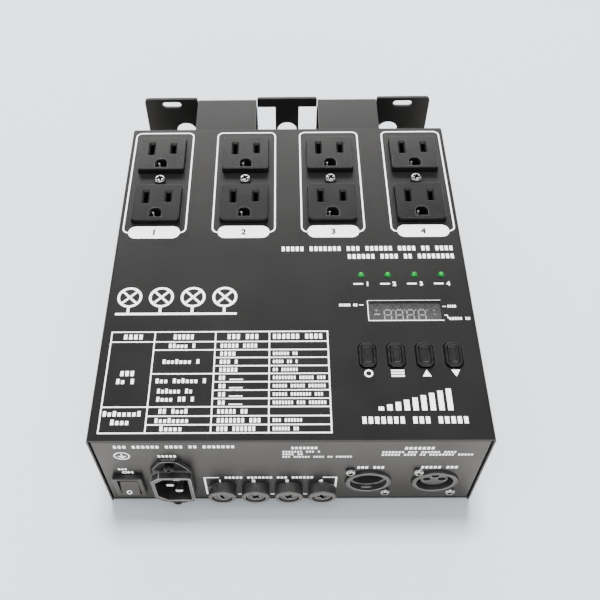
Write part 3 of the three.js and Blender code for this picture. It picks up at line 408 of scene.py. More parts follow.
# %% Copies and sizes
def copy_of(piece, name, place=(0, 0, 0), turn=(0, 0, 0)):
    """A copy with its own mesh, turned by so many degrees and then moved."""
    pick(piece)
    bpy.ops.object.duplicate()
    twin = newest(name)
    twin.rotation_euler = [math.radians(angle) for angle in turn]
    twin.location = Vector(place) * MM
    return settle(twin)


def box_mm(node):
    """A node's lowest and highest corners."""
    low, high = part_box(node)
    return Vector(low) / MM, Vector(high) / MM


def middle_of(node):
    """The middle of a node's box."""
    low, high = box_mm(node)
    return (low + high) / 2


# %% Blocks and rods
def add_block(name, low, high):
    """A block between two corners."""
    low, high = Vector(low) * MM, Vector(high) * MM
    deselect()
    bpy.ops.mesh.primitive_cube_add(size=1, location=(low + high) / 2)
    piece = newest(name)
    piece.scale = high - low
    return settle(piece)


def add_rod(name, start, end, radius, steps=48):
    """A rod between two points."""
    start, end = Vector(start) * MM, Vector(end) * MM
    deselect()
    bpy.ops.mesh.primitive_cylinder_add(
        vertices=steps, radius=radius * MM, depth=(end - start).length, location=(start + end) / 2,
        rotation=(end - start).to_track_quat("Z", "Y").to_euler())
    return settle(newest(name))


# %% Edit mode moves
def edit(piece, kind, test, *moves):
    """Selects faces or edges by place and direction, and makes the moves on them."""
    pick(piece)
    bpy.ops.object.mode_set(mode="EDIT")
    bpy.ops.mesh.select_mode(type=kind)
    bpy.ops.mesh.select_all(action="DESELECT")
    mesh = bmesh.from_edit_mesh(piece.data)
    for face in mesh.faces if kind == "FACE" else ():
        face.select_set(bool(test(face.calc_center_median() / MM, face.normal)))
    for edge in mesh.edges if kind == "EDGE" else ():
        first, last = (vertex.co for vertex in edge.verts)
        if test((first + last) / 2 / MM, (last - first).normalized()):
            edge.select_set(True)
    bmesh.update_edit_mesh(piece.data)
    for move, *values in moves:
        move(*values)
    bpy.ops.object.mode_set(mode="OBJECT")
    return piece


# %% Moves of what is selected
def extrude(x, y, z):
    bpy.ops.mesh.extrude_region_move(TRANSFORM_OT_translate={"value": Vector((x, y, z)) * MM})


def inset(thickness, depth=0):
    bpy.ops.mesh.inset(thickness=thickness * MM, depth=depth * MM)


def bevel(width, steps=1):
    bpy.ops.mesh.bevel(offset=width * MM, segments=steps, affect="EDGES")


def slide(x, y, z):
    bpy.ops.transform.translate(value=Vector((x, y, z)) * MM)


def resize(x, y, z, centre):
    bpy.ops.transform.resize(value=(x, y, z), center_override=Vector(centre) * MM)


def remove_faces():
    bpy.ops.mesh.delete(type="FACE")


# %% Tests by direction, and a rounded plate
def facing(way):
    """A test for faces that look along that direction."""
    way = Vector(way)
    return lambda spot, normal: normal.dot(way) > 0.9


def along(axis):
    """A test for edges that run along X, Y or Z."""
    index = "XYZ".index(axis)
    return lambda spot, way: abs(way[index]) > 0.9


def add_plate(name, low, high, corner, axis="Z", steps=6):
    """A block whose four edges along one axis are rounded."""
    return edit(add_block(name, low, high), "EDGE", along(axis), (bevel, corner, steps))


# %% Telling what was made
def tell(*pieces):
    """Prints the names, faces and sizes of pieces."""
    for piece in pieces:
        size = " x ".join(f"{edge / MM:.1f}" for edge in piece.dimensions)
        print(f"{piece.name}: {len(piece.data.polygons)} faces, {size} mm")


# %% Modifiers, cuts and folds
def modify(piece, kind, **settings):
    """Adds a modifier and applies it."""
    pick(piece)
    modifier = piece.modifiers.new(kind.lower(), kind)
    for label, value in settings.items():
        setattr(modifier, label, value)
    bpy.ops.object.modifier_apply(modifier=modifier.name)
    return piece


def combine(piece, operation, others):
    """Cuts the others from the piece, or adds them to it, in one step."""
    tool = others[0]
    if len(others) > 1:
        pick(*others)
        bpy.ops.object.join()
    modify(piece, "BOOLEAN", object=tool, operation=operation, solver="EXACT")
    bpy.data.objects.remove(tool)
    return piece


def carve(piece, *cutters):
    return combine(piece, "DIFFERENCE", cutters)


def weld(piece, *others):
    return combine(piece, "UNION", others)


def fold(piece, thickness):
    """Gives a folded surface the thickness of its sheet, inwards."""
    return modify(piece, "SOLIDIFY", thickness=thickness * MM, offset=-1, use_even_offset=True)


# %% Small radii, worn rims and marked recesses
def soften(piece, width=0.2, steps=2, angle=40):
    """Small radii on every sharp edge, marked as rims for wear and painted highlight, and smooth shading
    between them.
    """
    piece.data.materials.clear()
    piece.data.materials.append(None)
    piece.data.materials.append(None)
    modify(piece, "BEVEL", width=width * MM, segments=steps, limit_method="ANGLE", material=1,
           angle_limit=math.radians(angle), use_clamp_overlap=False, face_strength_mode="FSTR_AFFECTED")
    rims = piece.data.attributes.new("rim", "FLOAT", "FACE")
    for face in piece.data.polygons:
        rims.data[face.index].value = face.material_index
        face.material_index = 0
    pick(piece)
    bpy.ops.object.shade_smooth_by_angle(angle=math.radians(angle))
    return modify(piece, "WEIGHTED_NORMAL", keep_sharp=True, use_face_influence=True)


def plain_rims(piece, test):
    """Takes the bright rim tone, wear and painted highlight, off the rims that lie where the test says."""
    rims = piece.data.attributes["rim"]
    for face in piece.data.polygons:
        if test(face.center / MM):
            rims.data[face.index].value = 0
    return piece


def mark_inner(piece, test):
    """Marks the faces of a recess, which get painted shade: a near-black finish of their own."""
    marks = piece.data.attributes.new("inner", "FLOAT", "FACE")
    for face in piece.data.polygons:
        marks.data[face.index].value = float(test(face.center / MM, face.normal))
    return piece


# %% Finish and body of a piece
def dress(piece, material, slot, *replaced, body="enclosure", inner=None):
    """Gives a piece its finish, the painted shade of its recesses and its body, and hides the nodes that it
    stands for.
    """
    piece.data.materials.clear()
    piece.data.materials.append(material)
    if inner:
        piece.data.materials.append(inner)
        marks = piece.data.attributes["inner"]
        for face in piece.data.polygons:
            face.material_index = int(marks.data[face.index].value > 0.5)
    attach(piece, body)
    if replaced:
        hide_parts(*replaced)
    return piece


# %% [markdown]
# ## The cover
# The cover is one sheet, folded down on both sides, with a punched hole for all that stands through
# it. A block without its ends and underside gives the folded surface; its two long edges are
# rounded to the bend's radius before the sheet gets its thickness, so the wall stays even. Blocks
# and rods then cut the holes, each a little larger than what stands in it.

# %% Folded cover
SHEET = 1.0
COVER_BEND = 1.6
GAP = 0.3
cover_box = box_mm("top_cover")
cover_top = cover_box[1].z
cover = add_block("cover", *cover_box)
edit(cover, "FACE", lambda spot, way: abs(way.y) > 0.9 or way.z < -0.9, (remove_faces,))
edit(cover, "EDGE", lambda spot, way: abs(way.y) > 0.9 and spot.z > cover_top - 1, (bevel, COVER_BEND, 6))
fold(cover, SHEET)
tell(cover)

# %% Holes for the outlets and their screws
FACE_HALF = (13.4, 13.2)
FACE_CORNER = 1.3
outlet_boxes = [box_mm(f"duplex_receptacle_{number}") for number in range(1, 5)]
outlet_xs = [(low.x + high.x) / 2 for low, high in outlet_boxes]
outlet_y = (outlet_boxes[0][0].y + outlet_boxes[0][1].y) / 2
ROW_HALF = 19.3
SCREW_HOLE = 1.8
under, over = cover_top - 2, cover_top + 2


def hole(x, y, half_x, half_y, corner, steps=6):
    """A cutter through the cover's top."""
    return add_plate("cutter", (x - half_x, y - half_y, under), (x + half_x, y + half_y, over), corner,
                     steps=steps)


holes = []
for x in outlet_xs:
    for y in (outlet_y - ROW_HALF, outlet_y + ROW_HALF):
        holes.append(hole(x, y, FACE_HALF[0] + GAP, FACE_HALF[1] + GAP, FACE_CORNER + GAP))
    holes.append(add_rod("cutter", (x, outlet_y, under), (x, outlet_y, over), SCREW_HOLE))
print("holes for outlets and screws:", len(holes))
carve(cover, *holes)

# %% Holes for the window, buttons, lamps and side screws
BUTTON_CHAMFER = 1.9
BUTTON_GAP = 0.6
button_boxes = [box_mm(f"menu_button_{number}") for number in range(1, 5)]
button_xs = [(low.x + high.x) / 2 for low, high in button_boxes]
button_y = (button_boxes[0][0].y + button_boxes[0][1].y) / 2
BUTTON_HALF = (4.1, 6.8)
lamp_y = sum(corner.y for corner in box_mm("channel_led_1")) / 2
window_box = box_mm("display_window")
window_middle = (window_box[0] + window_box[1]) / 2
WINDOW_HALF = (18.3, 5.7)
WINDOW_CORNER = 0.6
LAMP_HOLE = 1.8
holes = [hole(window_middle.x, window_middle.y, WINDOW_HALF[0] + GAP, WINDOW_HALF[1] + GAP,
              WINDOW_CORNER, 3)]
for x in button_xs:
    holes.append(hole(x, button_y, BUTTON_HALF[0] + BUTTON_GAP, BUTTON_HALF[1] + BUTTON_GAP,
                      BUTTON_CHAMFER, 1))
    holes.append(add_rod("cutter", (x, lamp_y, under), (x, lamp_y, over), LAMP_HOLE, 32))
side_screws = [box_mm(f"cover_screw_{number}") for number in range(1, 5)]
for y in sorted({round((low.y + high.y) / 2, 3) for low, high in side_screws}):
    z = (side_screws[0][0].z + side_screws[0][1].z) / 2
    holes.append(add_rod("cutter", (cover_box[0].x - 1, y, z), (cover_box[1].x + 1, y, z), SCREW_HOLE, 32))
carve(cover, *holes)
soften(cover, 0.2, 2)
dress(cover, cover_paint, "cover_paint", "top_cover")
tell(cover)

# %% [markdown]
# ## The front panel and the base
# The panel is a channel that stands between the cover's edges, half a millimetre back, with its
# fittings in punched holes. Its side edges are rolled over, which leaves the dark groove that shows
# beside the cover. The base is kept from the frame, with its lower front edge rounded as a fold is
# and its sheared edges softened.

# %% Front panel
PANEL_SHEET = 1.2
PANEL_BEND = 1.5
ROLLED_EDGE = 0.8
panel_box = box_mm("front_panel")
panel_y = panel_box[0].y
panel = add_block("panel", *panel_box)
edit(panel, "FACE", lambda spot, way: abs(way.x) > 0.9 or way.y > 0.9, (remove_faces,))
edit(panel, "EDGE", lambda spot, way: abs(way.x) > 0.9 and spot.y < panel_y + 1, (bevel, PANEL_BEND, 6))
fold(panel, PANEL_SHEET)
edit(panel, "EDGE", lambda spot, way: abs(way.z) > 0.9 and spot.y < panel_y + 0.1, (bevel, ROLLED_EDGE, 3))
tell(panel)

# %% Holes for the front fittings
SWITCH_HOLE = (6.8, 9.5)
INLET_HOLE = (9.2, 13.3)
FUSE_HOLE = 6.2
SOCKET_HOLE = 11.65
near, far = panel_y - 2, panel_y + 3
inlet_middle = middle_of("power_inlet")
switch_middle = middle_of("switch_housing")
fuse_middles = [middle_of(f"fuse_holder_{number}") for number in range(1, 5)]
socket_middles = {"in": middle_of("signal_in_socket"), "out": middle_of("signal_out_socket")}
holes = []
for spot, half, corner, steps in ((switch_middle, SWITCH_HOLE, 0.8, 3), (inlet_middle, INLET_HOLE, 1.5, 4)):
    holes.append(add_plate("cutter", (spot.x - half[0], near, spot.z - half[1]),
                           (spot.x + half[0], far, spot.z + half[1]), corner, "Y", steps))
for spot in fuse_middles:
    holes.append(add_rod("cutter", (spot.x, near, spot.z), (spot.x, far, spot.z), FUSE_HOLE))
for spot in socket_middles.values():
    holes.append(add_rod("cutter", (spot.x, near, spot.z), (spot.x, far, spot.z), SOCKET_HOLE, 96))
screw_spots = [middle_of(f"socket_screw_{number}") for number in range(1, 5)]
screw_spots += [middle_of(f"inlet_screw_{number}") for number in range(1, 3)]
for spot in screw_spots:
    holes.append(add_rod("cutter", (spot.x, near, spot.z), (spot.x, far, spot.z), SCREW_HOLE, 24))
carve(panel, *holes)
soften(panel, 0.15, 2)
dress(panel, panel_paint, "panel_paint", "front_panel")
tell(panel)

# %% Base with softened edges
def from_node(node, name):
    """A merged copy of a node's mesh, ready for modifiers."""
    piece = bpy.data.objects.new(name, nodes[node].data.copy())
    piece.data.name = name
    bpy.context.scene.collection.objects.link(piece)
    if piece.data.has_custom_normals:
        pick(piece)
        bpy.ops.mesh.customdata_custom_splitnormals_clear()
    edit(piece, "FACE", lambda spot, way: True, (bpy.ops.mesh.remove_doubles,),
         (bpy.ops.mesh.dissolve_limited,))
    return piece


base = from_node("base_chassis", "base")
edit(base, "EDGE", lambda spot, way: abs(way.x) > 0.9 and spot.y < panel_y + 0.01 and spot.z < 0.01,
     (bevel, 0.8, 4))
soften(base, 0.15, 2)
dress(base, base_paint, "panel_paint", "base_chassis")
tell(base)

# %% [markdown]
# ## The hanging bracket
# One thick sheet is folded twice: two webs run back from the box and turn down into a plate with a
# wing at each end and a narrow stem in the middle. Here the plate's rear skin comes first. It is cut
# along the webs' edges, each web is drawn out of its notch, forwards and down into a foot, and the
# whole skin then gets the sheet's thickness at once.

# %% The plate's rear skin
BRACKET_SHEET = 2.0
BRACKET_BEND = 2.6
RELIEF = 0.4
WEB_EDGES = (19.0, 56.8)
WEB_MIDDLE = 37.9
STEM_HALF = 7.5
bracket_box = box_mm("hanging_bracket")
foot_y, plate_back = bracket_box[0].y, bracket_box[1].y
plate_front = plate_back - BRACKET_SHEET
plate_low, plate_high = bracket_box[0].z, bracket_box[1].z
WEB_TOP = plate_high - 0.9
NOTCH_FLOOR = plate_high - 8.0
WINDOW_TOP = plate_high - 6.8
WINDOW_FLOOR = plate_high - 32.8
FOOT_END = plate_high - 23.9
FOOT_HOLE = plate_high - 13.4
bracket = add_block("bracket", (bracket_box[0].x, plate_front, plate_low),
                    (bracket_box[1].x, plate_back, plate_high))
edit(bracket, "FACE", lambda spot, way: way.y < 0.9, (remove_faces,))
tell(bracket)

# %% Cuts along the webs' edges
def cut_across(piece, axis, place):
    """Cuts a whole piece along a plane across X, Y or Z."""
    normal = Vector([letter == axis for letter in "XYZ"])
    return edit(piece, "FACE", lambda spot, way: True,
                (lambda: bpy.ops.mesh.bisect(plane_co=normal * place * MM, plane_no=normal),))


for side in (-1, 1):
    for place in (WEB_EDGES[0], WEB_EDGES[0] + RELIEF, WEB_EDGES[1] - RELIEF, WEB_EDGES[1]):
        cut_across(bracket, "X", side * place)
cut_across(bracket, "Z", NOTCH_FLOOR)
edit(bracket, "FACE", lambda spot, way: spot.z > NOTCH_FLOOR and WEB_EDGES[0] < abs(spot.x) < WEB_EDGES[1],
     (remove_faces,))
tell(bracket)

# %% Webs and feet
edit(bracket, "EDGE", lambda spot, way: abs(way.x) > 0.9 and abs(spot.z - NOTCH_FLOOR) < 0.01 and
     WEB_EDGES[0] + RELIEF < abs(spot.x) < WEB_EDGES[1] - RELIEF,
     (extrude, 0, 0, WEB_TOP - NOTCH_FLOOR), (extrude, 0, foot_y - plate_back, 0),
     (extrude, 0, 0, FOOT_END - WEB_TOP))
edit(bracket, "EDGE", lambda spot, way: abs(way.x) > 0.9 and abs(spot.z - WEB_TOP) < 0.01,
     (bevel, BRACKET_BEND, 6))
fold(bracket, BRACKET_SHEET)
edit(bracket, "EDGE", lambda spot, way: abs(way.y) > 0.9 and abs(spot.x) > bracket_box[1].x - 0.01,
     (bevel, 2.6, 6))
edit(bracket, "EDGE", lambda spot, way: abs(way.y) > 0.9 and spot.z > plate_high - 0.01 and
     abs(spot.x) < WEB_EDGES[1] + 0.01, (bevel, 1.4, 5))
tell(bracket)

# %% Windows, slots and clamp holes
CLAMP_RADIUS = 6.25
CLAMP_X = 66.0
HANG_SLOT_X = 73.5
HANG_SLOT_HALF = 6
HANG_SLOT_TOP = plate_high - 2.3
HANG_SLOT_FLOOR = plate_high - 6.9
HANG_SLOT_CORNER = 2.29
FOOT_HOLE_RADIUS = 2.3
plate_middle = (plate_low + plate_high) / 2
low_y, high_y = plate_front - 1, plate_back + 1
holes = []
for side in (-1, 1):
    inner, outer = sorted((side * STEM_HALF, side * WEB_EDGES[0]))
    holes.append(add_block("cutter", (inner, low_y, WINDOW_FLOOR), (outer, high_y, WINDOW_TOP)))
    holes.append(add_plate("cutter", (side * HANG_SLOT_X - HANG_SLOT_HALF, low_y, HANG_SLOT_FLOOR),
                           (side * HANG_SLOT_X + HANG_SLOT_HALF, high_y, HANG_SLOT_TOP),
                           HANG_SLOT_CORNER, "Y", 8))
    holes.append(add_rod("cutter", (side * WEB_MIDDLE, foot_y - 1, FOOT_HOLE),
                         (side * WEB_MIDDLE, foot_y + 3, FOOT_HOLE), FOOT_HOLE_RADIUS, 32))
for x in (-CLAMP_X, 0, CLAMP_X):
    holes.append(add_rod("cutter", (x, low_y, plate_middle), (x, high_y, plate_middle), CLAMP_RADIUS, 64))
carve(bracket, *holes)
soften(bracket, 0.25, 2)
dress(bracket, bracket_paint, "bracket_paint", "hanging_bracket")
tell(bracket)

# %% [markdown]
# ## The duplex outlets
# Under the cover each outlet is one moulded block. Two faces rise from it through the cover, each
# with two blade slots and an arched earth hole whose mouths are flared so that a plug finds its way
# in. The slots' rims get no bright rim tone of wear and painted highlight. One outlet is made and
# copied three times, and a thin spring strip stands at the rear of every earth hole.

# %% Outlet block and faces
ROWS_OF_FACES = (-ROW_HALF, ROW_HALF)
outlet_low, outlet_high = outlet_boxes[0]
outlet_top = outlet_high.z
body_top = cover_top - SHEET - GAP
outlet = add_block("outlet_1", outlet_low, (outlet_high.x, outlet_high.y, body_top))
edit(outlet, "EDGE", along("Z"), (bevel, 1.5, 4))
faces = []
for row in ROWS_OF_FACES:
    spot = Vector((outlet_xs[0], outlet_y + row, 0))
    face = add_plate("face", (spot.x - FACE_HALF[0], spot.y - FACE_HALF[1], body_top - 1),
                     (spot.x + FACE_HALF[0], spot.y + FACE_HALF[1], outlet_top), FACE_CORNER, steps=8)
    edit(face, "EDGE", lambda spot, way: spot.z > outlet_top - 0.01, (bevel, 0.4, 3))
    faces.append(face)
weld(outlet, *faces)
tell(outlet)

# %% Sizes of the slots, and the flare at their mouths
SLOT_SPACING = 12.7
SLOT_FROM_FACE = 3.7
SLOT_HALF_WIDTH = 1.1
SLOT_HALF_LENGTHS = {-1: 4.3, 1: 3.5}
SLOT_DEPTH = 17
EARTH_HALF_WIDTH = 2.9
EARTH_FRONT = 11.9 + 2.7
EARTH_REAR = 9
FLARE = 1.0
SLOT_REACH, EARTH_REACH = 1.0, 0.7
slot_floor = outlet_top - SLOT_DEPTH


def flared(cutter, reach_x, reach_y):
    """Opens a cutter's last millimetre outwards, above the face as well as in it."""
    low, high = (Vector(corner) for corner in (cutter.bound_box[0], cutter.bound_box[6]))
    middle = (low + high) / 2 / MM
    half = (high - low) / 2 / MM
    return edit(cutter, "FACE", facing((0, 0, 1)), (extrude, 0, 0, 1.5 * FLARE),
                (resize, 1 + 1.5 * reach_x / half.x, 1 + 1.5 * reach_y / half.y, 1,
                 (middle.x, middle.y, outlet_top)))


# %% Slots, earth holes and the four outlets
slots = []
for row in ROWS_OF_FACES:
    x, y = outlet_xs[0], outlet_y + row + SLOT_FROM_FACE
    for side, half_length in SLOT_HALF_LENGTHS.items():
        middle_x = x + side * SLOT_SPACING / 2
        slot = add_block("cutter", (middle_x - SLOT_HALF_WIDTH, y - half_length, slot_floor),
                         (middle_x + SLOT_HALF_WIDTH, y + half_length, outlet_top - FLARE))
        slots.append(flared(slot, SLOT_REACH, SLOT_REACH))
    earth = add_block("cutter", (x - EARTH_HALF_WIDTH, y - EARTH_FRONT, slot_floor),
                      (x + EARTH_HALF_WIDTH, y - EARTH_REAR, outlet_top - FLARE))
    edit(earth, "EDGE", lambda spot, way: abs(way.z) > 0.9 and spot.y > y - 10,
         (bevel, EARTH_HALF_WIDTH - 0.02, 8))
    slots.append(flared(earth, EARTH_REACH, EARTH_REACH))
slots.append(add_rod("cutter", (outlet_xs[0], outlet_y, body_top - 11), (outlet_xs[0], outlet_y, over),
                     SCREW_HOLE, 24))
carve(outlet, *slots)
soften(outlet, 0.12, 2)
plain_rims(outlet, lambda spot: abs(abs(spot.x - outlet_xs[0]) - SLOT_SPACING / 2) < 2.4 and
           min(abs(spot.y - outlet_y - row - SLOT_FROM_FACE) for row in ROWS_OF_FACES) < 5.6)
outlets = [outlet]
for number in range(2, 5):
    outlets.append(copy_of(outlet, f"outlet_{number}", (outlet_xs[number - 1] - outlet_xs[0], 0, 0)))
for number, piece in enumerate(outlets, 1):
    dress(piece, outlet_plastic, "outlet_plastic", f"duplex_receptacle_{number}")
tell(*outlets)

# %% Spring contacts in the earth holes
SPRING_FROM_FACE = 6.7
SPRING_SIDES = (-1.9, -1.1)
SPRING_HEIGHTS = (-9, -2.4)
contacts = []
for x in outlet_xs:
    for row in ROWS_OF_FACES:
        y = outlet_y + row - SPRING_FROM_FACE
        strip = add_block("strip", (x + SPRING_SIDES[0], y, outlet_top + SPRING_HEIGHTS[0]),
                          (x + SPRING_SIDES[1], y + 0.4, outlet_top + SPRING_HEIGHTS[1]))
        edit(strip, "FACE", facing((0, 0, 1)), (extrude, 0, -0.3, 0.4))
        contacts.append(strip)
pick(*contacts)
bpy.ops.object.join()
springs = soften(newest("earth_springs"), 0.1, 2)
springs.data.materials.append(spring_nickel)
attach(springs, "enclosure")
tell(springs)

# %% [markdown]
# ## Screws
# The outlets, inlet and sockets are held by plated pan-head screws with a cross recess, and the cover
# and the bracket by black ones. A short rod gets its dome from a wide bevel, the shank is drawn out
# of its underside, and two crossed wedges cut the recess, whose faces are marked for painted shade.
# Each of the three sizes is made once, standing on the origin, and copied to its seats.

# %% One pan-head screw
HEAD_HEIGHT = 1.9
CROSS_LONG, CROSS_SHORT, CROSS_DEPTH = 0.7, 0.22, 2.4


def add_screw(name, head_radius, shank_radius, length):
    """A pan-head screw that stands on the origin and points down."""
    screw = add_rod(name, (0, 0, 0), (0, 0, HEAD_HEIGHT), head_radius, 40)
    edit(screw, "EDGE", lambda spot, way: spot.z > HEAD_HEIGHT - 0.01, (bevel, 0.62 * HEAD_HEIGHT, 5))
    edit(screw, "FACE", facing((0, 0, -1)), (inset, head_radius - shank_radius), (extrude, 0, 0, -length))
    for share_x, share_y in ((CROSS_LONG, CROSS_SHORT), (CROSS_SHORT, CROSS_LONG)):
        half_x, half_y = share_x * head_radius, share_y * head_radius
        wing = add_block("cutter", (-half_x, -half_y, HEAD_HEIGHT - CROSS_DEPTH),
                         (half_x, half_y, HEAD_HEIGHT + 0.5))
        edit(wing, "FACE", facing((0, 0, -1)), (resize, 0.55, 0.55, 1, (0, 0, HEAD_HEIGHT)))
        carve(screw, wing)
    soften(screw, 0.07, 2)
    # The faces inside the cross recess get painted shade.
    return mark_inner(screw, lambda spot, way: way.z > -0.3 and -0.6 < spot.z < HEAD_HEIGHT - 0.3 and
                      spot.xy.length < 0.74 * head_radius)


screw = add_screw("screw", 3.2, 1.5, 8)
front_screw = add_screw("front_screw", 2.55, 1.5, 8)
foot_screw = add_screw("foot_screw", 3.8, 2.0, 7)
tell(screw, front_screw, foot_screw)

# %% Screws in their seats
for number, x in enumerate(outlet_xs, 1):
    node = f"receptacle_screw_{number}"
    seat = box_mm(node)[1].z - HEAD_HEIGHT
    twin = copy_of(screw, f"outlet_screw_{number}", (x, outlet_y, seat), (0, 0, 17 * number))
    tell(dress(twin, screw_nickel, "screw_steel", node, inner=painted_recess_shade))
for kind, count in (("inlet_screw", 2), ("socket_screw", 4)):
    for number in range(1, count + 1):
        low, high = box_mm(f"{kind}_{number}")
        spot = (low + high) / 2
        twin = copy_of(front_screw, f"front_{kind}_{number}", (spot.x, low.y + HEAD_HEIGHT, spot.z),
                       (90, 25 * number, 0))
        plating = dull_nickel if kind == "inlet_screw" else screw_nickel
        tell(dress(twin, plating, "screw_steel", f"{kind}_{number}", inner=painted_recess_shade))
for number in range(1, 5):
    low, high = box_mm(f"cover_screw_{number}")
    spot = (low + high) / 2
    side = 1 if spot.x > 0 else -1
    seat = high.x - HEAD_HEIGHT if side > 0 else low.x + HEAD_HEIGHT
    twin = copy_of(screw, f"side_screw_{number}", (seat, spot.y, spot.z), (0, 90 * side, 0))
    tell(dress(twin, black_zinc, "black_screw", f"cover_screw_{number}"))
for number in (1, 2):
    low, high = box_mm(f"bracket_screw_{number}")
    spot = (low + high) / 2
    twin = copy_of(foot_screw, f"bracket_foot_screw_{number}", (spot.x, high.y - HEAD_HEIGHT, spot.z),
                   (-90, 0, 0))
    tell(dress(twin, black_zinc, "black_screw", f"bracket_screw_{number}"))
for source in (screw, front_screw, foot_screw):
    bpy.data.objects.remove(source)

# %% [markdown]
# ## The mains inlet
# The inlet is one moulding: a flange with an ear at each end, a collar that stands proud of it and a
# deep cavity with three blades. The ears are drawn out of the flange's short ends and narrowed, the
# collar is drawn out of its front and loses two corners, and the cavity is carved with a block that
# lacks them too. The ears' sunk faces get the painted shade of a recess, and only the collar's rim
# keeps the bright rim tone of wear and painted highlight.

# %% Inlet body
inlet_low, inlet_high = box_mm("power_inlet")
collar_front = inlet_low.y
COLLAR_RISE = 3.6
FLANGE_SHEET = 2.2
FLANGE_HALF = 10
COLLAR_HALF = 14.1
EAR_REACH = 10.7
EAR_NARROWING = 0.4
flange_front = collar_front + COLLAR_RISE
flange_back = flange_front + FLANGE_SHEET
cx, cz = inlet_middle.x, inlet_middle.z
inlet = add_block("inlet", (cx - FLANGE_HALF, flange_front, cz - COLLAR_HALF),
                  (cx + FLANGE_HALF, flange_back, cz + COLLAR_HALF))
for side in (-1, 1):
    edit(inlet, "FACE", facing((0, 0, side)), (extrude, 0, 0, side * EAR_REACH),
         (resize, EAR_NARROWING, 1, 1, (cx, flange_back, cz)))
edit(inlet, "EDGE", lambda spot, way: abs(way.y) > 0.9 and abs(spot.z - cz) > 24, (bevel, 2.0, 5))
edit(inlet, "FACE", lambda spot, way: way.y < -0.9 and abs(spot.z - cz) > 15,
     (inset, 1.0), (slide, 0, 0.5, 0))
edit(inlet, "FACE", lambda spot, way: way.y < -0.9 and abs(spot.z - cz) < 2, (extrude, 0, -COLLAR_RISE, 0))
edit(inlet, "EDGE", lambda spot, way: abs(way.y) > 0.9 and spot.y < flange_front - 1 and spot.x > cx,
     (bevel, 1.8, 5))
edit(inlet, "EDGE", lambda spot, way: abs(way.y) > 0.9 and spot.y < flange_front - 1 and spot.x < cx - 9.9,
     (bevel, 4.2, 1))
edit(inlet, "FACE", lambda spot, way: way.y > 0.9 and abs(spot.z - cz) < 2,
     (inset, 1.1), (extrude, 0, inlet_high.y - flange_back, 0))
tell(inlet)

# %% Cavity, screw holes and slits for the blades
CAVITY_HALF = (8.4, 12.5)
CAVITY_DEPTH = 16.5
SCREW_REACH = 20.1
cavity_floor = collar_front + CAVITY_DEPTH
cavity = add_block("cutter", (cx - CAVITY_HALF[0], collar_front - 1, cz - CAVITY_HALF[1]),
                   (cx + CAVITY_HALF[0], cavity_floor, cz + CAVITY_HALF[1]))
edit(cavity, "EDGE", lambda spot, way: abs(way.y) > 0.9 and spot.x < cx, (bevel, 4.6, 1))
edit(cavity, "EDGE", lambda spot, way: abs(way.y) > 0.9 and spot.x > cx, (bevel, 0.8, 3))
screw_holes = [add_rod("cutter", (cx, flange_front - 1, cz + side * SCREW_REACH),
                       (cx, flange_back + 1, cz + side * SCREW_REACH), SCREW_HOLE, 24) for side in (-1, 1)]
carve(inlet, cavity, *screw_holes)
pin_nodes = ("inlet_pin_line", "inlet_pin_neutral", "inlet_pin_earth")
slits = []
for node in pin_nodes:
    low, high = box_mm(node)
    slits.append(add_block("cutter", (low.x - GAP, cavity_floor - 1, low.z - GAP),
                           (high.x + GAP, inlet_high.y + 1, high.z + GAP)))
carve(inlet, *slits)
soften(inlet, 0.25, 3)
plain_rims(inlet, lambda spot: spot.y > collar_front + 0.6 and
           abs(spot.x - cx) < 9 and abs(spot.z - cz) < 13)
plain_rims(inlet, lambda spot: spot.y > flange_front - 0.5 and abs(spot.z - cz) < COLLAR_HALF + 1.8)
# The ears' front faces get painted shade.
mark_inner(inlet, lambda spot, way: abs(spot.z - cz) > COLLAR_HALF + 0.1 and way.y < -0.95)
dress(inlet, inlet_plastic, "inlet_plastic", "power_inlet", inner=painted_recess_shade)
tell(inlet)

# %% Inlet blades
for node in pin_nodes:
    low, high = box_mm(node)
    blade = add_block(node.replace("pin", "blade"), low, high)
    edit(blade, "EDGE", lambda spot, way: abs(way.y) < 0.1 and spot.y < low.y + 0.001, (bevel, 0.45, 1))
    soften(blade, 0.12, 2)
    dress(blade, bright_nickel, "contact_metal", node)
    tell(blade)

# %% [markdown]
# ## The rocker switch
# A thin bezel frames a well, and the rocker lies in it with its upper half pressed in. The switch's
# body is drawn out of an inset in the bezel's back, and a rounded block carves the well, whose walls
# are marked for painted shade. The rocker gets its shallow dish by moving one cut across its middle
# and its sunk upper lip by pushing that edge in, before it is tilted about its axle.

# %% Switch bezel and body
bezel_low, bezel_high = box_mm("switch_housing")
BEZEL_HALF = (7.4, 10.1)
BEZEL_SHEET = 2.6
WELL_HALF = (5.2, 8.6)
WELL_DEPTH = 8.6
AXLE_HALF = 5.9
axle_y = bezel_low.y + 2.6
bezel_back = bezel_low.y + BEZEL_SHEET
sx, sz = switch_middle.x, switch_middle.z
bezel = add_plate("switch_bezel", (sx - BEZEL_HALF[0], bezel_low.y, sz - BEZEL_HALF[1]),
                  (sx + BEZEL_HALF[0], bezel_back, sz + BEZEL_HALF[1]), 0.8, "Y", 4)
edit(bezel, "EDGE", lambda spot, way: spot.y < bezel_low.y + 0.01, (bevel, 0.7, 3))
edit(bezel, "FACE", facing((0, 1, 0)), (inset, 0.85), (extrude, 0, bezel_high.y - bezel_back, 0))
well = add_plate("cutter", (sx - WELL_HALF[0], bezel_low.y - 1, sz - WELL_HALF[1]),
                 (sx + WELL_HALF[0], bezel_low.y + WELL_DEPTH, sz + WELL_HALF[1]), 0.5, "Y", 3)
axle_hole = add_rod("cutter", (sx - AXLE_HALF, axle_y, sz), (sx + AXLE_HALF, axle_y, sz), 1.5, 24)
carve(bezel, well)
carve(bezel, axle_hole)
soften(bezel, 0.15, 2)
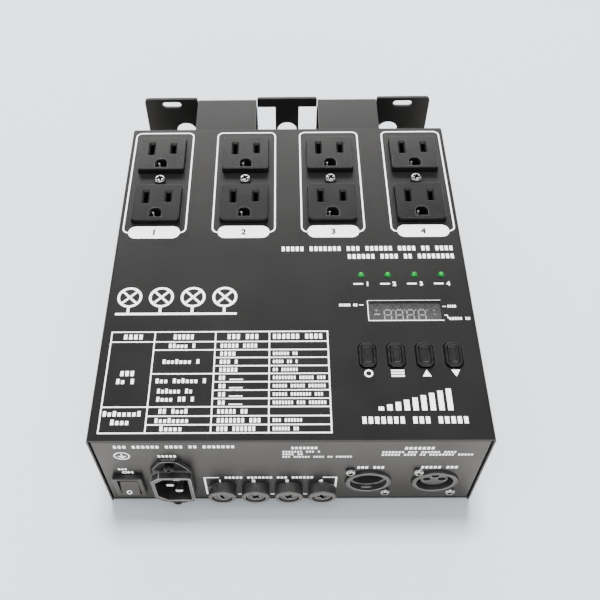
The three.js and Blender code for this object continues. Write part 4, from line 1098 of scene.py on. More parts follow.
# The walls of the well get painted shade.
mark_inner(bezel, lambda spot, way: spot.y > bezel_low.y + 0.3 and
           abs(spot.x - sx) < 6 and abs(spot.z - sz) < 9)
dress(bezel, switch_plastic, "switch_plastic", "switch_housing", inner=painted_recess_shade)
tell(bezel)

# %% Rocker
PIVOT = Vector((sx, axle_y, sz))
ROCKER_HALF = (4.7, 7.8)
ROCKER_SHEET = 2.4
ROCKER_TILT = math.radians(-9)
DISH_DEPTH, DISH_BACK, DISH_ROUND = 0.8, 2.8, 4.5
AXLE_RADIUS, AXLE_END = 1.2, 5.6
LIP_SINK = (0, 2.2, -2.4)


def middle_edge(side):
    """A test for the rocker's middle edge in front (-1) or behind (1)."""
    return lambda spot, way: abs(spot.z) < 0.1 and abs(way.x) > 0.9 and (spot.y + 1) * side > 0


rocker = add_block("rocker", (-ROCKER_HALF[0], -ROCKER_SHEET, -ROCKER_HALF[1]),
                   (ROCKER_HALF[0], 0, ROCKER_HALF[1]))
edit(rocker, "EDGE", along("Z"), (bpy.ops.mesh.subdivide,))
edit(rocker, "EDGE", middle_edge(-1), (slide, 0, DISH_DEPTH, 0))
edit(rocker, "EDGE", middle_edge(1), (slide, 0, DISH_BACK, 0))
edit(rocker, "EDGE", middle_edge(-1), (bevel, DISH_ROUND, 8))
weld(rocker, add_rod("axle", (-AXLE_END, 0.001, 0), (AXLE_END, 0.001, 0), AXLE_RADIUS, 24))
edit(rocker, "EDGE", lambda spot, way: abs(way.x) > 0.9 and spot.y < -2.3 and spot.z > 7.7,
     (slide, *LIP_SINK), (resize, 0.84, 1, 1, (0, 0, 0)))
soften(rocker, 0.3, 3)
plain_rims(rocker, lambda spot: True)
rocker.rotation_euler.x = ROCKER_TILT
rocker.location = PIVOT * MM
settle(rocker)
dress(rocker, switch_plastic, "switch_plastic", "switch_rocker", body="rocker")
tell(rocker)

# %% [markdown]
# ## Fuse holders, caps and fuses
# All of these are turned parts. A short rod is the collar; its front is inset and pushed in step by
# step for the bores, as a lathe would do it, and its back is drawn out to the barrel. The slots of
# each cap are cut by one or two bars, turned as the cap was left, and get painted shade inside.

# %% Stepped rods
def step(piece, way, *depths):
    """Insets the end face and pushes it along Y, for each (inset, push) in turn."""
    moves = []
    for thickness, push in depths:
        moves += [(inset, thickness), (extrude, 0, push, 0)]
    return edit(piece, "FACE", facing((0, way, 0)), *moves)


COLLAR_RADIUS = 7.1
COLLAR_DEPTH = 5.4
COLLAR_ROUND = 0.7
CAP_BORE = 5.0
CAP_RADIUS, CAP_LENGTH = 4.7, 6
FUSE_RADIUS = 2.6
holder_low, holder_high = box_mm("fuse_holder_1")
cap_low = box_mm("fuse_cap_1")[0]
fuse_low, fuse_high = box_mm("fuse_1")
first = fuse_middles[0]
holder_front = holder_low.y
holder_back = holder_front + COLLAR_DEPTH
collar = add_rod("fuse_holder_1_body", (first.x, holder_front, first.z), (first.x, holder_back, first.z),
                 COLLAR_RADIUS, 64)
edit(collar, "EDGE", lambda spot, way: spot.y < holder_front + 0.01, (bevel, COLLAR_ROUND, 4))
step(collar, 1, (1.2, holder_high.y - holder_back))
step(collar, -1, (COLLAR_RADIUS - COLLAR_ROUND - CAP_BORE, 6.8), (0.9, 9.0), (1.2, 15.3))
soften(collar, 0.12, 2)
tell(collar)

# %% Slotted cap and fuse
cap = add_rod("fuse_cap_1_body", (first.x, cap_low.y, first.z), (first.x, cap_low.y + CAP_LENGTH, first.z),
              CAP_RADIUS, 56)
edit(cap, "EDGE", lambda spot, way: spot.y < cap_low.y + 0.01, (bevel, 0.35, 3))
step(cap, 1, (0.9, 9.0), (0.9, -5.3))
fuse = add_rod("fuse_1_tube", (first.x, fuse_low.y, first.z), (first.x, fuse_high.y, first.z),
               FUSE_RADIUS, 40)
step(fuse, -1, (0.35, -0.01), (0.3, 5.5))
step(fuse, 1, (0.35, 0.01), (0.3, -5.5))
soften(fuse, 0.1, 2)
tell(cap, fuse)

# %% The four of each
ARM_TURNS = ((72,), (40, 128), (28, 118), (5, 70))
ARM_HALF, ARM_DEPTH = (2.5, 0.85), 3.0
arm = add_block("arm", (-ARM_HALF[0], -1, -ARM_HALF[1]), (ARM_HALF[0], ARM_DEPTH, ARM_HALF[1]))
for number, spot in enumerate(fuse_middles, 1):
    shift = (spot.x - first.x, 0, 0)
    slotted = copy_of(cap, "slotted_cap", shift)
    for angle in ARM_TURNS[number - 1]:
        carve(slotted, copy_of(arm, "cutter", (spot.x, cap_low.y, spot.z), (0, angle, 0)))
    soften(slotted, 0.1, 2)
    # The faces inside the slots get painted shade.
    mark_inner(slotted, lambda place, way: cap_low.y + 0.25 < place.y < cap_low.y + 4 and
               (place - spot).xz.length < 2.8)
    dress(slotted, fuse_plastic, "fuse_plastic", f"fuse_cap_{number}", body=f"fuse_{number}_cap",
          inner=painted_recess_shade)
    slotted.name = f"turned_fuse_cap_{number}"
    dress(copy_of(collar, f"turned_fuse_holder_{number}", shift), fuse_plastic, "fuse_plastic",
          f"fuse_holder_{number}")
    dress(copy_of(fuse, f"turned_fuse_{number}", shift), fuse_glass, "fuse_glass", f"fuse_{number}",
          body=f"fuse_{number}_body")
    tell(slotted)
for source in (collar, cap, fuse, arm):
    bpy.data.objects.remove(source)

# %% [markdown]
# ## The signal sockets
# Both sockets are a ring in the panel with a square flange behind it, welded together and bored by a
# rod. The input keeps its bore open around three pins, and has a shoulder part of the way down and a
# short bar near its mouth at the bottom. The output holds a round insert with three contact holes.

# %% Ring and flange
RING_RADIUS, BORE_RADIUS = 11.35, 9.4
BORE_DEPTH, SOCKET_DEPTH = 15, 18
SOCKET_FLANGE_HALF = (13, 15.5)
socket_front = box_mm("signal_in_socket")[0].y
flange_y = panel_y + PANEL_SHEET + 2 * GAP


def add_socket(name, spot):
    """A ring through the panel with its flange behind it, and a bore down to its floor."""
    half_x, half_z = SOCKET_FLANGE_HALF
    flange = add_plate(name, (spot.x - half_x, flange_y, spot.z - half_z),
                       (spot.x + half_x, flange_y + 2, spot.z + half_z), 1.5, "Y", 4)
    ring = add_rod("ring", (spot.x, socket_front, spot.z), (spot.x, panel_y + SOCKET_DEPTH, spot.z),
                   RING_RADIUS, 96)
    edit(ring, "EDGE", lambda place, way: place.y < socket_front + 0.01, (bevel, 0.45, 3))
    weld(flange, ring)
    bore = add_rod("cutter", (spot.x, socket_front - 1, spot.z),
                   (spot.x, socket_front + BORE_DEPTH, spot.z), BORE_RADIUS, 96)
    carve(flange, bore)
    return flange


socket_in = add_socket("signal_in_body", socket_middles["in"])
socket_out = add_socket("signal_out_body", socket_middles["out"])
tell(socket_in, socket_out)

# %% Pin holes, shoulder and bar of the input
CONTACT_SPOTS = ((-3.8, 0), (3.8, 0), (0, 3.8))
spot = socket_middles["in"]
for x, z in CONTACT_SPOTS:
    carve(socket_in, add_rod("cutter", (spot.x + x, socket_front + 14, spot.z + z),
                             (spot.x + x, panel_y + 19, spot.z + z), 1.5, 24))
shoulder = add_rod("shoulder", (spot.x, socket_front + 3.2, spot.z),
                   (spot.x, socket_front + 15.5, spot.z), BORE_RADIUS + 0.2, 96)
step(shoulder, -1, (1.2, 11.8))
key = add_block("key", (spot.x - 2.4, socket_front + 1.7, spot.z - 9.7),
                (spot.x + 2.4, socket_front + 2.4, spot.z - 8.7))
weld(socket_in, shoulder)
weld(socket_in, key)
tell(socket_in)

# %% Insert with three contact holes
spot = socket_middles["out"]
INSERT_SINK = 1.9
INSERT_RADIUS = 6.9
CONTACT_HOLE = 1.45
insert_front = socket_front + INSERT_SINK
insert = add_rod("insert", (spot.x, insert_front, spot.z), (spot.x, socket_front + 16, spot.z),
                 INSERT_RADIUS, 72)
edit(insert, "EDGE", lambda place, way: place.y < insert_front + 0.01, (bevel, 0.3, 3))
weld(socket_out, insert)
for x, z in CONTACT_SPOTS:
    contact_hole = add_rod("cutter", (spot.x + x, insert_front - 0.8, spot.z + z),
                           (spot.x + x, socket_front + 10.8, spot.z + z), CONTACT_HOLE, 32)
    edit(contact_hole, "FACE", facing((0, -1, 0)),
         (resize, 1.5, 1, 1.5, (spot.x + x, socket_front, spot.z + z)))
    carve(socket_out, contact_hole)
tell(socket_out)

# %% Screw holes and finish of both sockets
SOCKET_SCREW = (9.5, -12)
FLANGE_HOLE = 1.7
for piece, place in ((socket_in, "in"), (socket_out, "out")):
    for side in (-1, 1):
        x, z = (socket_middles[place].x + side * SOCKET_SCREW[0],
                socket_middles[place].z + side * SOCKET_SCREW[1])
        carve(piece, add_rod("cutter", (x, flange_y - 1, z), (x, flange_y + 3, z), FLANGE_HOLE, 24))
    soften(piece, 0.12, 2)
    dress(piece, socket_plastic, "socket_plastic", f"signal_{place}_socket")
    tell(piece)

# %% Contact pins
PIN_RADIUS = 1.2
PIN_SINK = 4.2
for number in range(1, 4):
    low, high = box_mm(f"signal_in_pin_{number}")
    middle = (low + high) / 2
    tip = min(low.y, socket_front + PIN_SINK)
    pin = add_rod(f"contact_pin_{number}", (middle.x, tip, middle.z), (middle.x, high.y, middle.z),
                  PIN_RADIUS, 32)
    edit(pin, "EDGE", lambda place, way: place.y < tip + 0.01, (bevel, 0.8, 5))
    soften(pin, 0.05, 1)
    dress(pin, bright_nickel, "contact_metal", f"signal_in_pin_{number}")
    tell(pin)

# %% [markdown]
# ## The display's window
# A smoked lens lies flush in the cover over a grey face with four unlit digits. The lens has a lip
# below the sheet that holds it, so a wider plate is welded under its block.

# %% Lens
LIP_TOP = window_box[0].z + 0.8
lens_block = add_plate("lens_block",
                       (window_middle.x - WINDOW_HALF[0], window_middle.y - WINDOW_HALF[1], LIP_TOP),
                       (window_middle.x + WINDOW_HALF[0], window_middle.y + WINDOW_HALF[1], window_box[1].z),
                       WINDOW_CORNER, steps=3)
lip = add_plate("lip", window_box[0], (window_box[1].x, window_box[1].y, LIP_TOP), WINDOW_CORNER, steps=3)
weld(lip, lens_block)
lip.name = "display_lens"
soften(lip, 0.15, 2)
dress(lip, window_lens, "window_lens", "display_window")
tell(lip)

# %% [markdown]
# ## Buttons and lamps
# The four buttons are eight-sided rubber caps with a soft edge, a groove around their top and a sunk
# middle, all made by insets. A lip under the cover holds each one, and a stem reaches its switch. The
# lamps are green domes, each turned from a rod whose upper edge is bevelled nearly all the way in.

# %% Buttons
LIP_SHEET = 1.2
STEM_HALF_WIDTH = 2
GROOVE = ((inset, 0.7), (inset, 0.35, -0.5), (inset, 0.35, 0.45))
SUNK_MIDDLE = ((inset, 0.8), (inset, 0.3, -0.3))
button_low, button_high = button_boxes[0]
button_x = button_xs[0]
seat = cover_top - SHEET - GAP
button = add_plate("button_1", (button_x - BUTTON_HALF[0], button_y - BUTTON_HALF[1], seat - LIP_SHEET),
                   (button_x + BUTTON_HALF[0], button_y + BUTTON_HALF[1], button_high.z),
                   BUTTON_CHAMFER, steps=1)
edit(button, "EDGE", lambda place, way: place.z > button_high.z - 0.01, (bevel, 0.35, 3))
edit(button, "FACE", lambda place, way: place.z > button_high.z - 0.01, *GROOVE, *SUNK_MIDDLE)
lip_ring = add_plate("lip", (button_low.x, button_low.y, seat - LIP_SHEET),
                     (button_high.x, button_high.y, seat), BUTTON_CHAMFER, steps=1)
weld(button, lip_ring)
stem = add_block("stem", (button_x - STEM_HALF_WIDTH, button_y - STEM_HALF_WIDTH, button_low.z),
                 (button_x + STEM_HALF_WIDTH, button_y + STEM_HALF_WIDTH, seat - 1))
weld(button, stem)
plain_rims(soften(button, 0.12, 2), lambda spot: True)
buttons = [button] + [copy_of(button, f"button_{number}", (x - button_x, 0, 0))
                      for number, x in enumerate(button_xs[1:], 2)]
for number, piece in enumerate(buttons, 1):
    dress(piece, button_rubber, "button_plastic", f"menu_button_{number}", body=f"button_{number}")
tell(*buttons)

# %% Lamps
LAMP_RADIUS, LAMP_DOME, LAMP_RIM = 1.5, 1.3, 2.0
LEAD_HALF, LEAD_X = 0.3, 0.65
lamp_low, lamp_high = box_mm("channel_led_1")
lamp_x = (lamp_low.x + lamp_high.x) / 2
lamp = add_rod("lamp_1", (lamp_x, lamp_y, seat - 1), (lamp_x, lamp_y, lamp_high.z), LAMP_RADIUS, 40)
edit(lamp, "EDGE", lambda place, way: place.z > lamp_high.z - 0.01, (bevel, LAMP_DOME, 8))
rim = add_rod("rim", (lamp_x, lamp_y, seat - 1), (lamp_x, lamp_y, seat), LAMP_RIM, 40)
weld(lamp, rim)
leads = [add_block("lead", (lamp_x + side * LEAD_X - LEAD_HALF, lamp_y - LEAD_HALF, lamp_low.z),
                   (lamp_x + side * LEAD_X + LEAD_HALF, lamp_y + LEAD_HALF, seat - 0.5)) for side in (-1, 1)]
weld(lamp, *leads)
soften(lamp, 0.05, 1)
leds = [lamp] + [copy_of(lamp, f"lamp_{number}", (x - button_x, 0, 0))
                 for number, x in enumerate(button_xs[1:], 2)]
for number, piece in enumerate(leds, 1):
    dress(piece, lamp_green, "lamp_lens", f"channel_led_{number}")
tell(*leds)

# %% [markdown]
# ## The display's face
# Under the lens lies a four-digit module with its segments unlit. A thin mask around it fills the
# rest of the window, and the marks beside the digits sit on that mask.

# %% Module and mask
MASK_MARGIN = 0.5
MASK_SHEET = 0.5
MASK_GAP = 0.1
FACE_SINK = 0.15
module_low, module_high = box_mm("display_module")
module = add_plate("display_body", module_low, module_high, 0.4, steps=3)
edit(module, "FACE", facing((0, 0, 1)), (inset, 0.35), (inset, 0.2, -FACE_SINK))
soften(module, 0.08, 2)
dress(module, display_face, "display_plastic", "display_module")
mask_level = module_high.z + MASK_GAP
mask = add_block("display_mask",
                 (window_box[0].x + MASK_MARGIN, window_box[0].y + MASK_MARGIN, mask_level - MASK_SHEET),
                 (window_box[1].x - MASK_MARGIN, window_box[1].y - MASK_MARGIN, mask_level))
carve(mask, add_block("cutter", (module_low.x - MASK_GAP, module_low.y - MASK_GAP, mask_level - 1),
                      (module_high.x + MASK_GAP, module_high.y + MASK_GAP, mask_level + 1)))
soften(mask, 0.06, 1)
mask.data.materials.clear()
mask.data.materials.append(display_face)
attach(mask, "enclosure")
tell(module, mask)

# %% [markdown]
# ## Print
# Frames, rules and labels are screen printed. Each is a flat plane shaped in edit mode and given the
# thickness of a coat of ink. Printed lines are rows of small blocks, and the labels of the outlets,
# lamps, fuses and buttons are plain numbers, arrows and simple symbols. Print that lies on other
# print is lifted by a hair, so that the two never share a plane.

# %% Flat shapes
INK = 0.05
OVERLAP = 0.01
BOLDNESS = 0.045


def add_strokes(name, strokes):
    """Flat bars from point to point, each (x1, y1, x2, y2, width), in one mesh."""
    deselect()
    bpy.ops.mesh.primitive_plane_add(size=MM)
    piece = newest(name)
    bpy.ops.object.mode_set(mode="EDIT")
    bpy.ops.mesh.delete(type="VERT")
    for x1, y1, x2, y2, width in strokes:
        run = Vector((x2 - x1, y2 - y1))
        middle = Vector(((x1 + x2) / 2, (y1 + y2) / 2, 0)) * MM
        bpy.ops.mesh.primitive_plane_add(size=1, location=middle)
        bpy.ops.transform.resize(value=(run.length * MM, width * MM, 1), center_override=middle)
        bpy.ops.transform.rotate(value=-math.atan2(run.y, run.x), orient_axis="Z", center_override=middle)
    bpy.ops.object.mode_set(mode="OBJECT")
    return piece


# %% Patches and discs
def round_corners(corner, steps):
    bpy.ops.mesh.bevel(offset=corner * MM, segments=steps, affect="VERTICES")


def add_patch(name, left, front, right, rear, corner, *moves):
    """A flat patch with rounded corners."""
    piece = add_strokes(name, [(left, (front + rear) / 2, right, (front + rear) / 2, rear - front)])
    return edit(piece, "FACE", facing((0, 0, 1)), (round_corners, corner, 8), *moves)


def add_disc(name, x, y, radius, *moves):
    """A flat disc."""
    deselect()
    bpy.ops.mesh.primitive_circle_add(vertices=40, radius=radius * MM, fill_type="NGON",
                                      location=(x * MM, y * MM, 0))
    return edit(settle(newest(name)), "FACE", facing((0, 0, 1)), *moves)


def hollow(line):
    """The moves that leave only a line around a patch or disc."""
    return (inset, line), (remove_faces,)


# %% Figures and letters
def add_words(name, words, x, y, height):
    """Plain figures or letters, turned into a mesh and centred on a point."""
    deselect()
    bpy.ops.object.text_add()
    bpy.context.active_object.data.body = words
    bpy.context.active_object.data.offset = BOLDNESS
    bpy.ops.object.convert(target="MESH")
    piece = newest(name)
    corners = [Vector(corner) for corner in piece.bound_box]
    low = Vector([min(corner[axis] for corner in corners) for axis in range(3)])
    high = Vector([max(corner[axis] for corner in corners) for axis in range(3)])
    scale = height * MM / (high.y - low.y)
    piece.scale = (scale, scale, 1)
    piece.location = Vector((x, y, 0)) * MM - (low + high) / 2 * scale
    piece.location.z = 0
    return settle(piece)


# %% Rows of small blocks
WORD_LENGTHS = (5, 7, 3, 6, 4, 2, 8, 5)


def block_letters(left, right, foot, height, first_word=0, capitals=True):
    """Small blocks in groups between two ends of a line."""
    cells = max(1, round((right - left) / (0.8 * height)))
    pitch = (right - left) / cells
    blocks, cell, word = [], 0, first_word
    while cell < cells:
        letters = min(WORD_LENGTHS[word % len(WORD_LENGTHS)], cells - cell)
        for letter in range(letters):
            tall = capitals or letter == 0 or (word + 2 * letter) % 5 == 0
            x = left + (cell + letter + 0.5) * pitch
            blocks.append((x, foot, x, foot + (height if tall else 0.74 * height), 0.66 * pitch))
        cell += letters + 1
        word += 1
    return blocks


# %% Laying print on a surface
def lay_print(name, ink, pieces, level, upright=False, lift=0.0):
    """Joins flat shapes, gives them the ink's thickness and lays them on the cover or the panel."""
    pick(*pieces)
    if len(pieces) > 1:
        bpy.ops.object.join()
    piece = newest(name)
    thick = INK + lift * OVERLAP
    if upright:
        piece.rotation_euler.x = math.radians(90)
        piece.location.y = (level - thick) * MM
    else:
        piece.location.z = (level + thick) * MM
    settle(piece)
    fold(piece, thick)
    piece.data.materials.append(ink)
    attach(piece, "enclosure")
    tell(piece)
    return piece


def lines_on_cover(*strokes):
    """Strokes whose places run from the cover's front edge, moved to where they lie."""
    return [(x1, cover_front + y1, x2, cover_front + y2, width) for x1, y1, x2, y2, width in strokes]


# %% Outlet frames and their numbers
cover_front = cover_box[0].y
frames, pills, numbers = [], [], []
for number, x in enumerate(outlet_xs, 1):
    frames.append(add_patch("frame", x - 17.65, cover_front + 125.0, x + 17.65, cover_front + 205.2, 3.6,
                            *hollow(0.8)))
    pills.append(add_patch("pill", x - 14.2, cover_front + 121.3, x + 14.2, cover_front + 129.9, 4.2))
    numbers.append(add_words("number", str(number), x, cover_front + 125.6, 4.2))
lay_print("outlet_frames", white_ink, frames, cover_top)
lay_print("outlet_labels", white_ink, pills, cover_top, lift=1)
lay_print("outlet_numbers", dark_ink, numbers, cover_top, lift=2)

# %% Two printed lines and the lamp labels
two_lines = block_letters(-4.1, 88.7, cover_front + 111.7, 3.1)
two_lines += block_letters(31.3, 88.7, cover_front + 106.2, 3.1, 3)
lay_print("rating_lines", white_ink, [add_strokes("lines", two_lines)], cover_top)
labels = []
for number, x in enumerate(button_xs, 1):
    labels.append(add_strokes("dash", lines_on_cover((x - 4.4, 89.3, x + 0.6, 89.3, 0.9))))
    labels.append(add_words("number", str(number), x + 3.0, cover_front + 89.3, 2.8))
lay_print("lamp_labels", white_ink, labels, cover_top)

# %% Painted highlight on the window's edges, and display labels
left, right = window_middle.x - WINDOW_HALF[0] - GAP, window_middle.x + WINDOW_HALF[0] + GAP
near_y, far_y = window_middle.y - WINDOW_HALF[1] - GAP, window_middle.y + WINDOW_HALF[1] + GAP
# White lines along the window's left and front edges paint the highlight of its cut edges; a hair line runs
# along its rear edge.
window_gleam_and_labels = [(left - 0.25, near_y - 0.5, left - 0.25, far_y + 0.2, 0.4),
           (left, near_y - 0.3, right + 0.6, near_y - 0.3, 0.45),
           (left, far_y + 0.15, right, far_y + 0.15, 0.2)]
for start, end, foot in ((25.4, 35.0, 75.0), (80.6, 85.2, 73.9), (80.6, 91.4, 66.3)):
    window_gleam_and_labels += block_letters(start, end, cover_front + foot, 1.6)
window_gleam_and_labels += lines_on_cover((35.8, 75.8, 38.0, 75.8, 0.5), (78.3, 74.6, 80.0, 74.6, 0.5),
                          (78.6, 69.2, 80.0, 69.2, 0.5), (79.9, 69.2, 80.4, 67.2, 0.5))
lay_print("window_gleam_and_display_labels", white_ink, [add_strokes("lines", window_gleam_and_labels)], cover_top)

# %% Button labels
label_y = cover_front + 35.3
bars = [(button_xs[1] - 3.2, label_y + shift, button_xs[1] + 3.2, label_y + shift, 0.9)
        for shift in (-1.5, 0, 1.5)]
arrows = [add_disc("ring", button_xs[0], label_y, 2.1, *hollow(0.75)), add_strokes("bars", bars)]
for x, way in ((button_xs[2], 1), (button_xs[3], -1)):
    arrow = add_strokes("arrow", [(x - 2.1, label_y, x + 2.1, label_y, 3.7)])
    edit(arrow, "EDGE", lambda spot, run: (spot.y - label_y) * way > 1.8,
         (resize, 0.02, 1, 1, (x, label_y, 0)))
    arrows.append(arrow)
lay_print("button_labels", white_ink, arrows, cover_top)

# %% A row of lamp symbols and a rising scale
SYMBOL_Y = cover_front + 81.4
SYMBOL_XS = (-82.4, -66.0, -49.6, -33.2)
SYMBOL_RADIUS = 6.4
reach = 5.2 * math.sqrt(0.5)
symbols = []
for x in SYMBOL_XS:
    symbols.append(add_disc("ring", x, SYMBOL_Y, SYMBOL_RADIUS, *hollow(1.3)))
    symbols.append(add_strokes("arm", [(x - reach, SYMBOL_Y - reach, x + reach, SYMBOL_Y + reach, 1.2)]))
    for side in (-1, 1):
        symbols.append(add_strokes("arm", [(x + side * 0.45, SYMBOL_Y - side * 0.45, x + side * reach,
                                            SYMBOL_Y - side * reach, 1.2)]))
rail = SYMBOL_Y - 10.5
symbols.append(add_strokes("rail", [(-88.8, rail, -26.8, rail, 1.3)]))
symbols.append(add_strokes("drops", [(x, rail + 0.65, x, SYMBOL_Y - SYMBOL_RADIUS, 1.3) for x in SYMBOL_XS]))
lay_print("lamp_symbols", white_ink, symbols, cover_top)
SCALE_LEFT, SCALE_PITCH = 42.6, 4.05
scale_bars = lines_on_cover(*((SCALE_LEFT + SCALE_PITCH * count, 15.2,
                               SCALE_LEFT + SCALE_PITCH * count, 17.2 + 1.2 * count, 2.5)
                              for count in range(9)))
caption = block_letters(32.9, 82.9, cover_front + 8.4, 3.6, 1)
lay_print("level_scale", white_ink, [add_strokes("bars", scale_bars), add_strokes("lines", caption)],
          cover_top)

# %% The settings table
COLUMNS = (-88.8, -67.1, -36.8, -10.0, 19.0)
ROWS = (59.8, 53.9, 49.1, 44.6, 39.9, 35.5, 30.95, 26.4, 21.9, 17.5, 12.7, 8.2, 4.0)
ROW_REACH = {0: 0, 1: 0, 2: 1, 3: 2, 4: 2, 5: 1, 6: 2, 7: 2, 8: 2, 9: 0, 10: 1, 11: 1, 12: 0}
RULE = 0.64
rules = lines_on_cover(*((COLUMNS[ROW_REACH[row]] - RULE / 2, y, COLUMNS[-1] + RULE / 2, y, RULE)
                         for row, y in enumerate(ROWS)))
lay_print("table_rules", white_ink, [add_strokes("rules", rules)], cover_top, lift=1)
columns = lines_on_cover(*((x, ROWS[-1], x, ROWS[0], RULE) for x in COLUMNS))
lay_print("table_columns", white_ink, [add_strokes("rules", columns)], cover_top)

# %% Entries of the table
THIRD_COLUMN = {1: -15.8, 2: -26.4, 3: -25.2, 4: -25.2, 5: -31.0, 6: -30.6, 7: -30.6, 8: -30.6, 9: -19.8,
                10: -13.6, 11: -16.0}
FOURTH_COLUMN = {2: 4.0, 3: 4.0, 4: 4.0, 5: 17.2, 6: 17.2, 7: 17.2, 8: 17.2, 10: 7.0, 11: 4.0}
entries = []
for left, right in ((-83.0, -72.8), (-58.0, -47.4), (-31.2, -15.2), (-8.6, 16.6)):
    entries.append((left, right, 55.4, 2.9, True))
entries += [(-82.4, -75.0, 34.4, 2.8, True), (-83.8, -74.6, 30.0, 2.8, False)]
entries += [(-88.0, -69.6, 12.6, 2.8, False), (-84.0, -74.8, 8.2, 2.8, False)]
for left, right, foot in ((-60.0, -46.4, 50.3), (-62.4, -43.8, 41.2), (-64.8, -40.0, 30.4),
                          (-63.6, -46.4, 24.8), (-63.6, -45.2, 20.4), (-62.0, -47.8, 14.0),
                          (-63.4, -45.2, 9.2), (-60.8, -47.8, 5.0)):
    entries.append((left, right, foot, 2.5, False))
for row, right in THIRD_COLUMN.items():
    entries.append((-34.4, right, (ROWS[row] + ROWS[row + 1]) / 2 - 1.2, 2.3, True))
for row, right in FOURTH_COLUMN.items():
    entries.append((-8.4, right, (ROWS[row] + ROWS[row + 1]) / 2 - 0.9, 1.8, True))
blocks = []
for count, (left, right, foot, height, capitals) in enumerate(entries):
    blocks += block_letters(left, right, cover_front + foot, height, count, capitals)
blanks = lines_on_cover(*((-29.0, ROWS[row + 1] + 1.3, -22.6, ROWS[row + 1] + 1.3, 0.6)
                          for row in (5, 6, 7, 8)))
lay_print("table_entries", white_ink, [add_strokes("letters", blocks), add_strokes("blanks", blanks)],
          cover_top)

# %% Print on the front panel
panel_lines = block_letters(-82.9, -25.8, 61.5, 2.7, 2) + block_letters(-63.3, -52.2, 51.5, 2.5)
for foot, right, word in ((56.5, 14.0, 1), (53.7, 6.0, 4), (50.9, 29.4, 2)):
    panel_lines += block_letters(-4.0, right, foot, 1.7, word)
panel_lines += block_letters(0.0, 14.6, 60.1, 2.4, 1)
for foot, right, word in ((55.5, 78.0, 1), (52.7, 87.9, 3)):
    panel_lines += block_letters(42.9, right, foot, 1.9, word)
panel_lines += block_letters(53.0, 67.4, 59.3, 2.6, 1)
panel_lines += block_letters(32.3, 45.9, 38.1, 2.6, 2) + block_letters(63.3, 81.7, 38.1, 2.6, 0)
panel_lines += block_letters(-33.0, 13.5, 26.7, 2.3, 0)
lay_print("panel_lines", white_ink, [add_strokes("lines", panel_lines)], panel_y, upright=True)

# %% Frame and numbers of the fuses
NUMBER_Z = 23.7
fuse_frame = [(-42.9, 7.1, -42.9, 28.3, 0.9), (-42.4, 27.9, -35.6, 27.9, 0.8),
              (16.2, 27.9, 22.6, 27.9, 0.8), (23.0, 14.4, 23.0, 28.3, 0.9)]
for first_cap, next_cap in zip(fuse_middles, fuse_middles[1:]):
    middle_x = (first_cap.x + next_cap.x) / 2
    fuse_frame.append((middle_x - 1.0, 6.9, middle_x + 1.0, 6.9, 0.8))
fuse_numbers = [add_words("number", str(number), spot.x - 0.9, NUMBER_Z, 3.0)
                for number, spot in enumerate(fuse_middles, 1)]
lay_print("fuse_frame", white_ink, [add_strokes("lines", fuse_frame), *fuse_numbers], panel_y, upright=True)

# %% Earth symbol and switch marks
earth_x, earth_z = -80.0, 53.3
earth_lines = [(earth_x, earth_z - 0.1, earth_x, earth_z + 2.2, 0.6)]
for half, drop, width in ((2.0, 0.4, 0.6), (1.3, 1.4, 0.55), (0.6, 2.3, 0.5)):
    earth_lines.append((earth_x - half, earth_z - drop, earth_x + half, earth_z - drop, width))
marks = [add_disc("ring", earth_x, earth_z, 3.9, *hollow(0.65)), add_strokes("lines", earth_lines),
         add_words("words", "ON", -80.2, 34.6, 2.8),
         add_strokes("line", block_letters(-84.6, -79.8, 37.4, 1.8))]
lay_print("panel_marks", white_ink, marks, panel_y, upright=True)

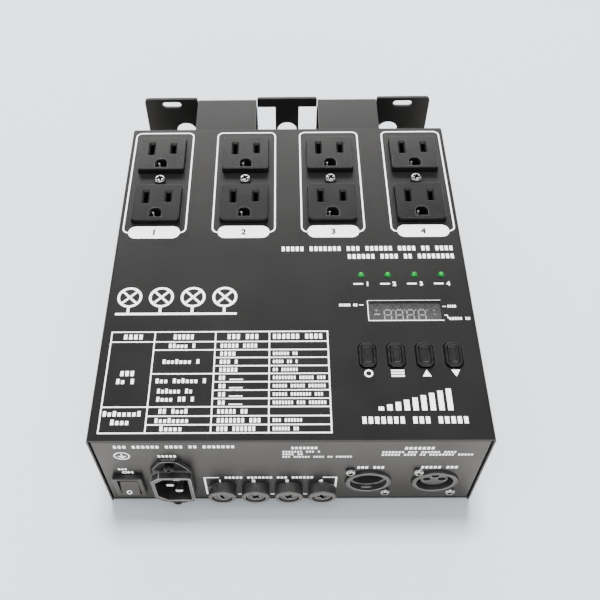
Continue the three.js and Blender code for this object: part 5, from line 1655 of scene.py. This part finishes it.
# %% The round mark on the rocker
mark = add_disc("ring", 0, 0, 1.4, *hollow(0.5))
modify(mark, "SUBSURF", levels=1, subdivision_type="SIMPLE")
mark.rotation_euler.x = math.radians(90)
mark.location = Vector((sx - 0.8, bezel_low.y - 1, sz - 4.8)) * MM
settle(mark)
modify(mark, "SHRINKWRAP", target=rocker, wrap_method="PROJECT", use_project_y=True, use_project_x=False,
       use_project_z=False, use_positive_direction=True, use_negative_direction=True, offset=INK * MM)
fold(mark, INK / 2)
mark.name = "rocker_mark"
mark.data.materials.append(white_ink)
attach(mark, "rocker")
tell(mark)

# %% Unlit segments
DIGIT_XS = (50.4, 56.3, 62.0, 67.9)
DIGIT_HALF = 1.75
LOOPS = (-36.0, -32.8, -29.6)
segments = []
for x in DIGIT_XS:
    for y in LOOPS:
        segments.append((x - DIGIT_HALF + 0.5, y, x + DIGIT_HALF - 0.5, y, 0.55))
    for low_end, high_end in zip(LOOPS, LOOPS[1:]):
        for side in (-1, 1):
            bar_x = x + side * DIGIT_HALF
            segments.append((bar_x, low_end + 0.4, bar_x, high_end - 0.4, 0.6))
    segments.append((x + 2.9, -30.1, x + 2.9, -29.5, 0.6))
lay_print("segments", segment_ink, [add_strokes("digits", segments)], module_high.z - FACE_SINK)
side_marks = [(44.3, -30.0, 45.0, -30.0, 0.8), (43.4, -32.5, 46.4, -32.5, 0.8),
              (73.9, -30.2, 74.5, -30.2, 0.7), (74.0, -32.6, 74.6, -32.6, 0.7)]
lay_print("side_marks", segment_ink, [add_strokes("marks", side_marks)], mask_level)

# %% [markdown]
# ## What stays as it is
# The boards and the heat sink lie inside, where nobody looks, and keep the frame's own shapes. Every
# node of the frame gets a finish all the same, chosen by its slot in the record.

# %% Finishes of the frame's nodes
SLOT_FINISHES = {
    "cover_paint": cover_paint, "panel_paint": panel_paint, "bracket_paint": bracket_paint,
    "outlet_plastic": outlet_plastic, "inlet_plastic": inlet_plastic, "switch_plastic": switch_plastic,
    "fuse_plastic": fuse_plastic, "socket_plastic": socket_plastic, "button_plastic": button_rubber,
    "screw_steel": screw_nickel, "contact_metal": bright_nickel, "black_screw": black_zinc,
    "board_laminate": board_green, "heat_sink_metal": bare_aluminium, "display_plastic": display_face,
    "lamp_lens": lamp_green, "fuse_glass": fuse_glass, "window_lens": window_lens,
}
for subpart in frame["record"]["subparts"]:
    node = nodes[subpart["node"]]
    for holder in node.material_slots:
        holder.material = SLOT_FINISHES[subpart["material_slot"]]
print("slots:", len(SLOT_FINISHES))
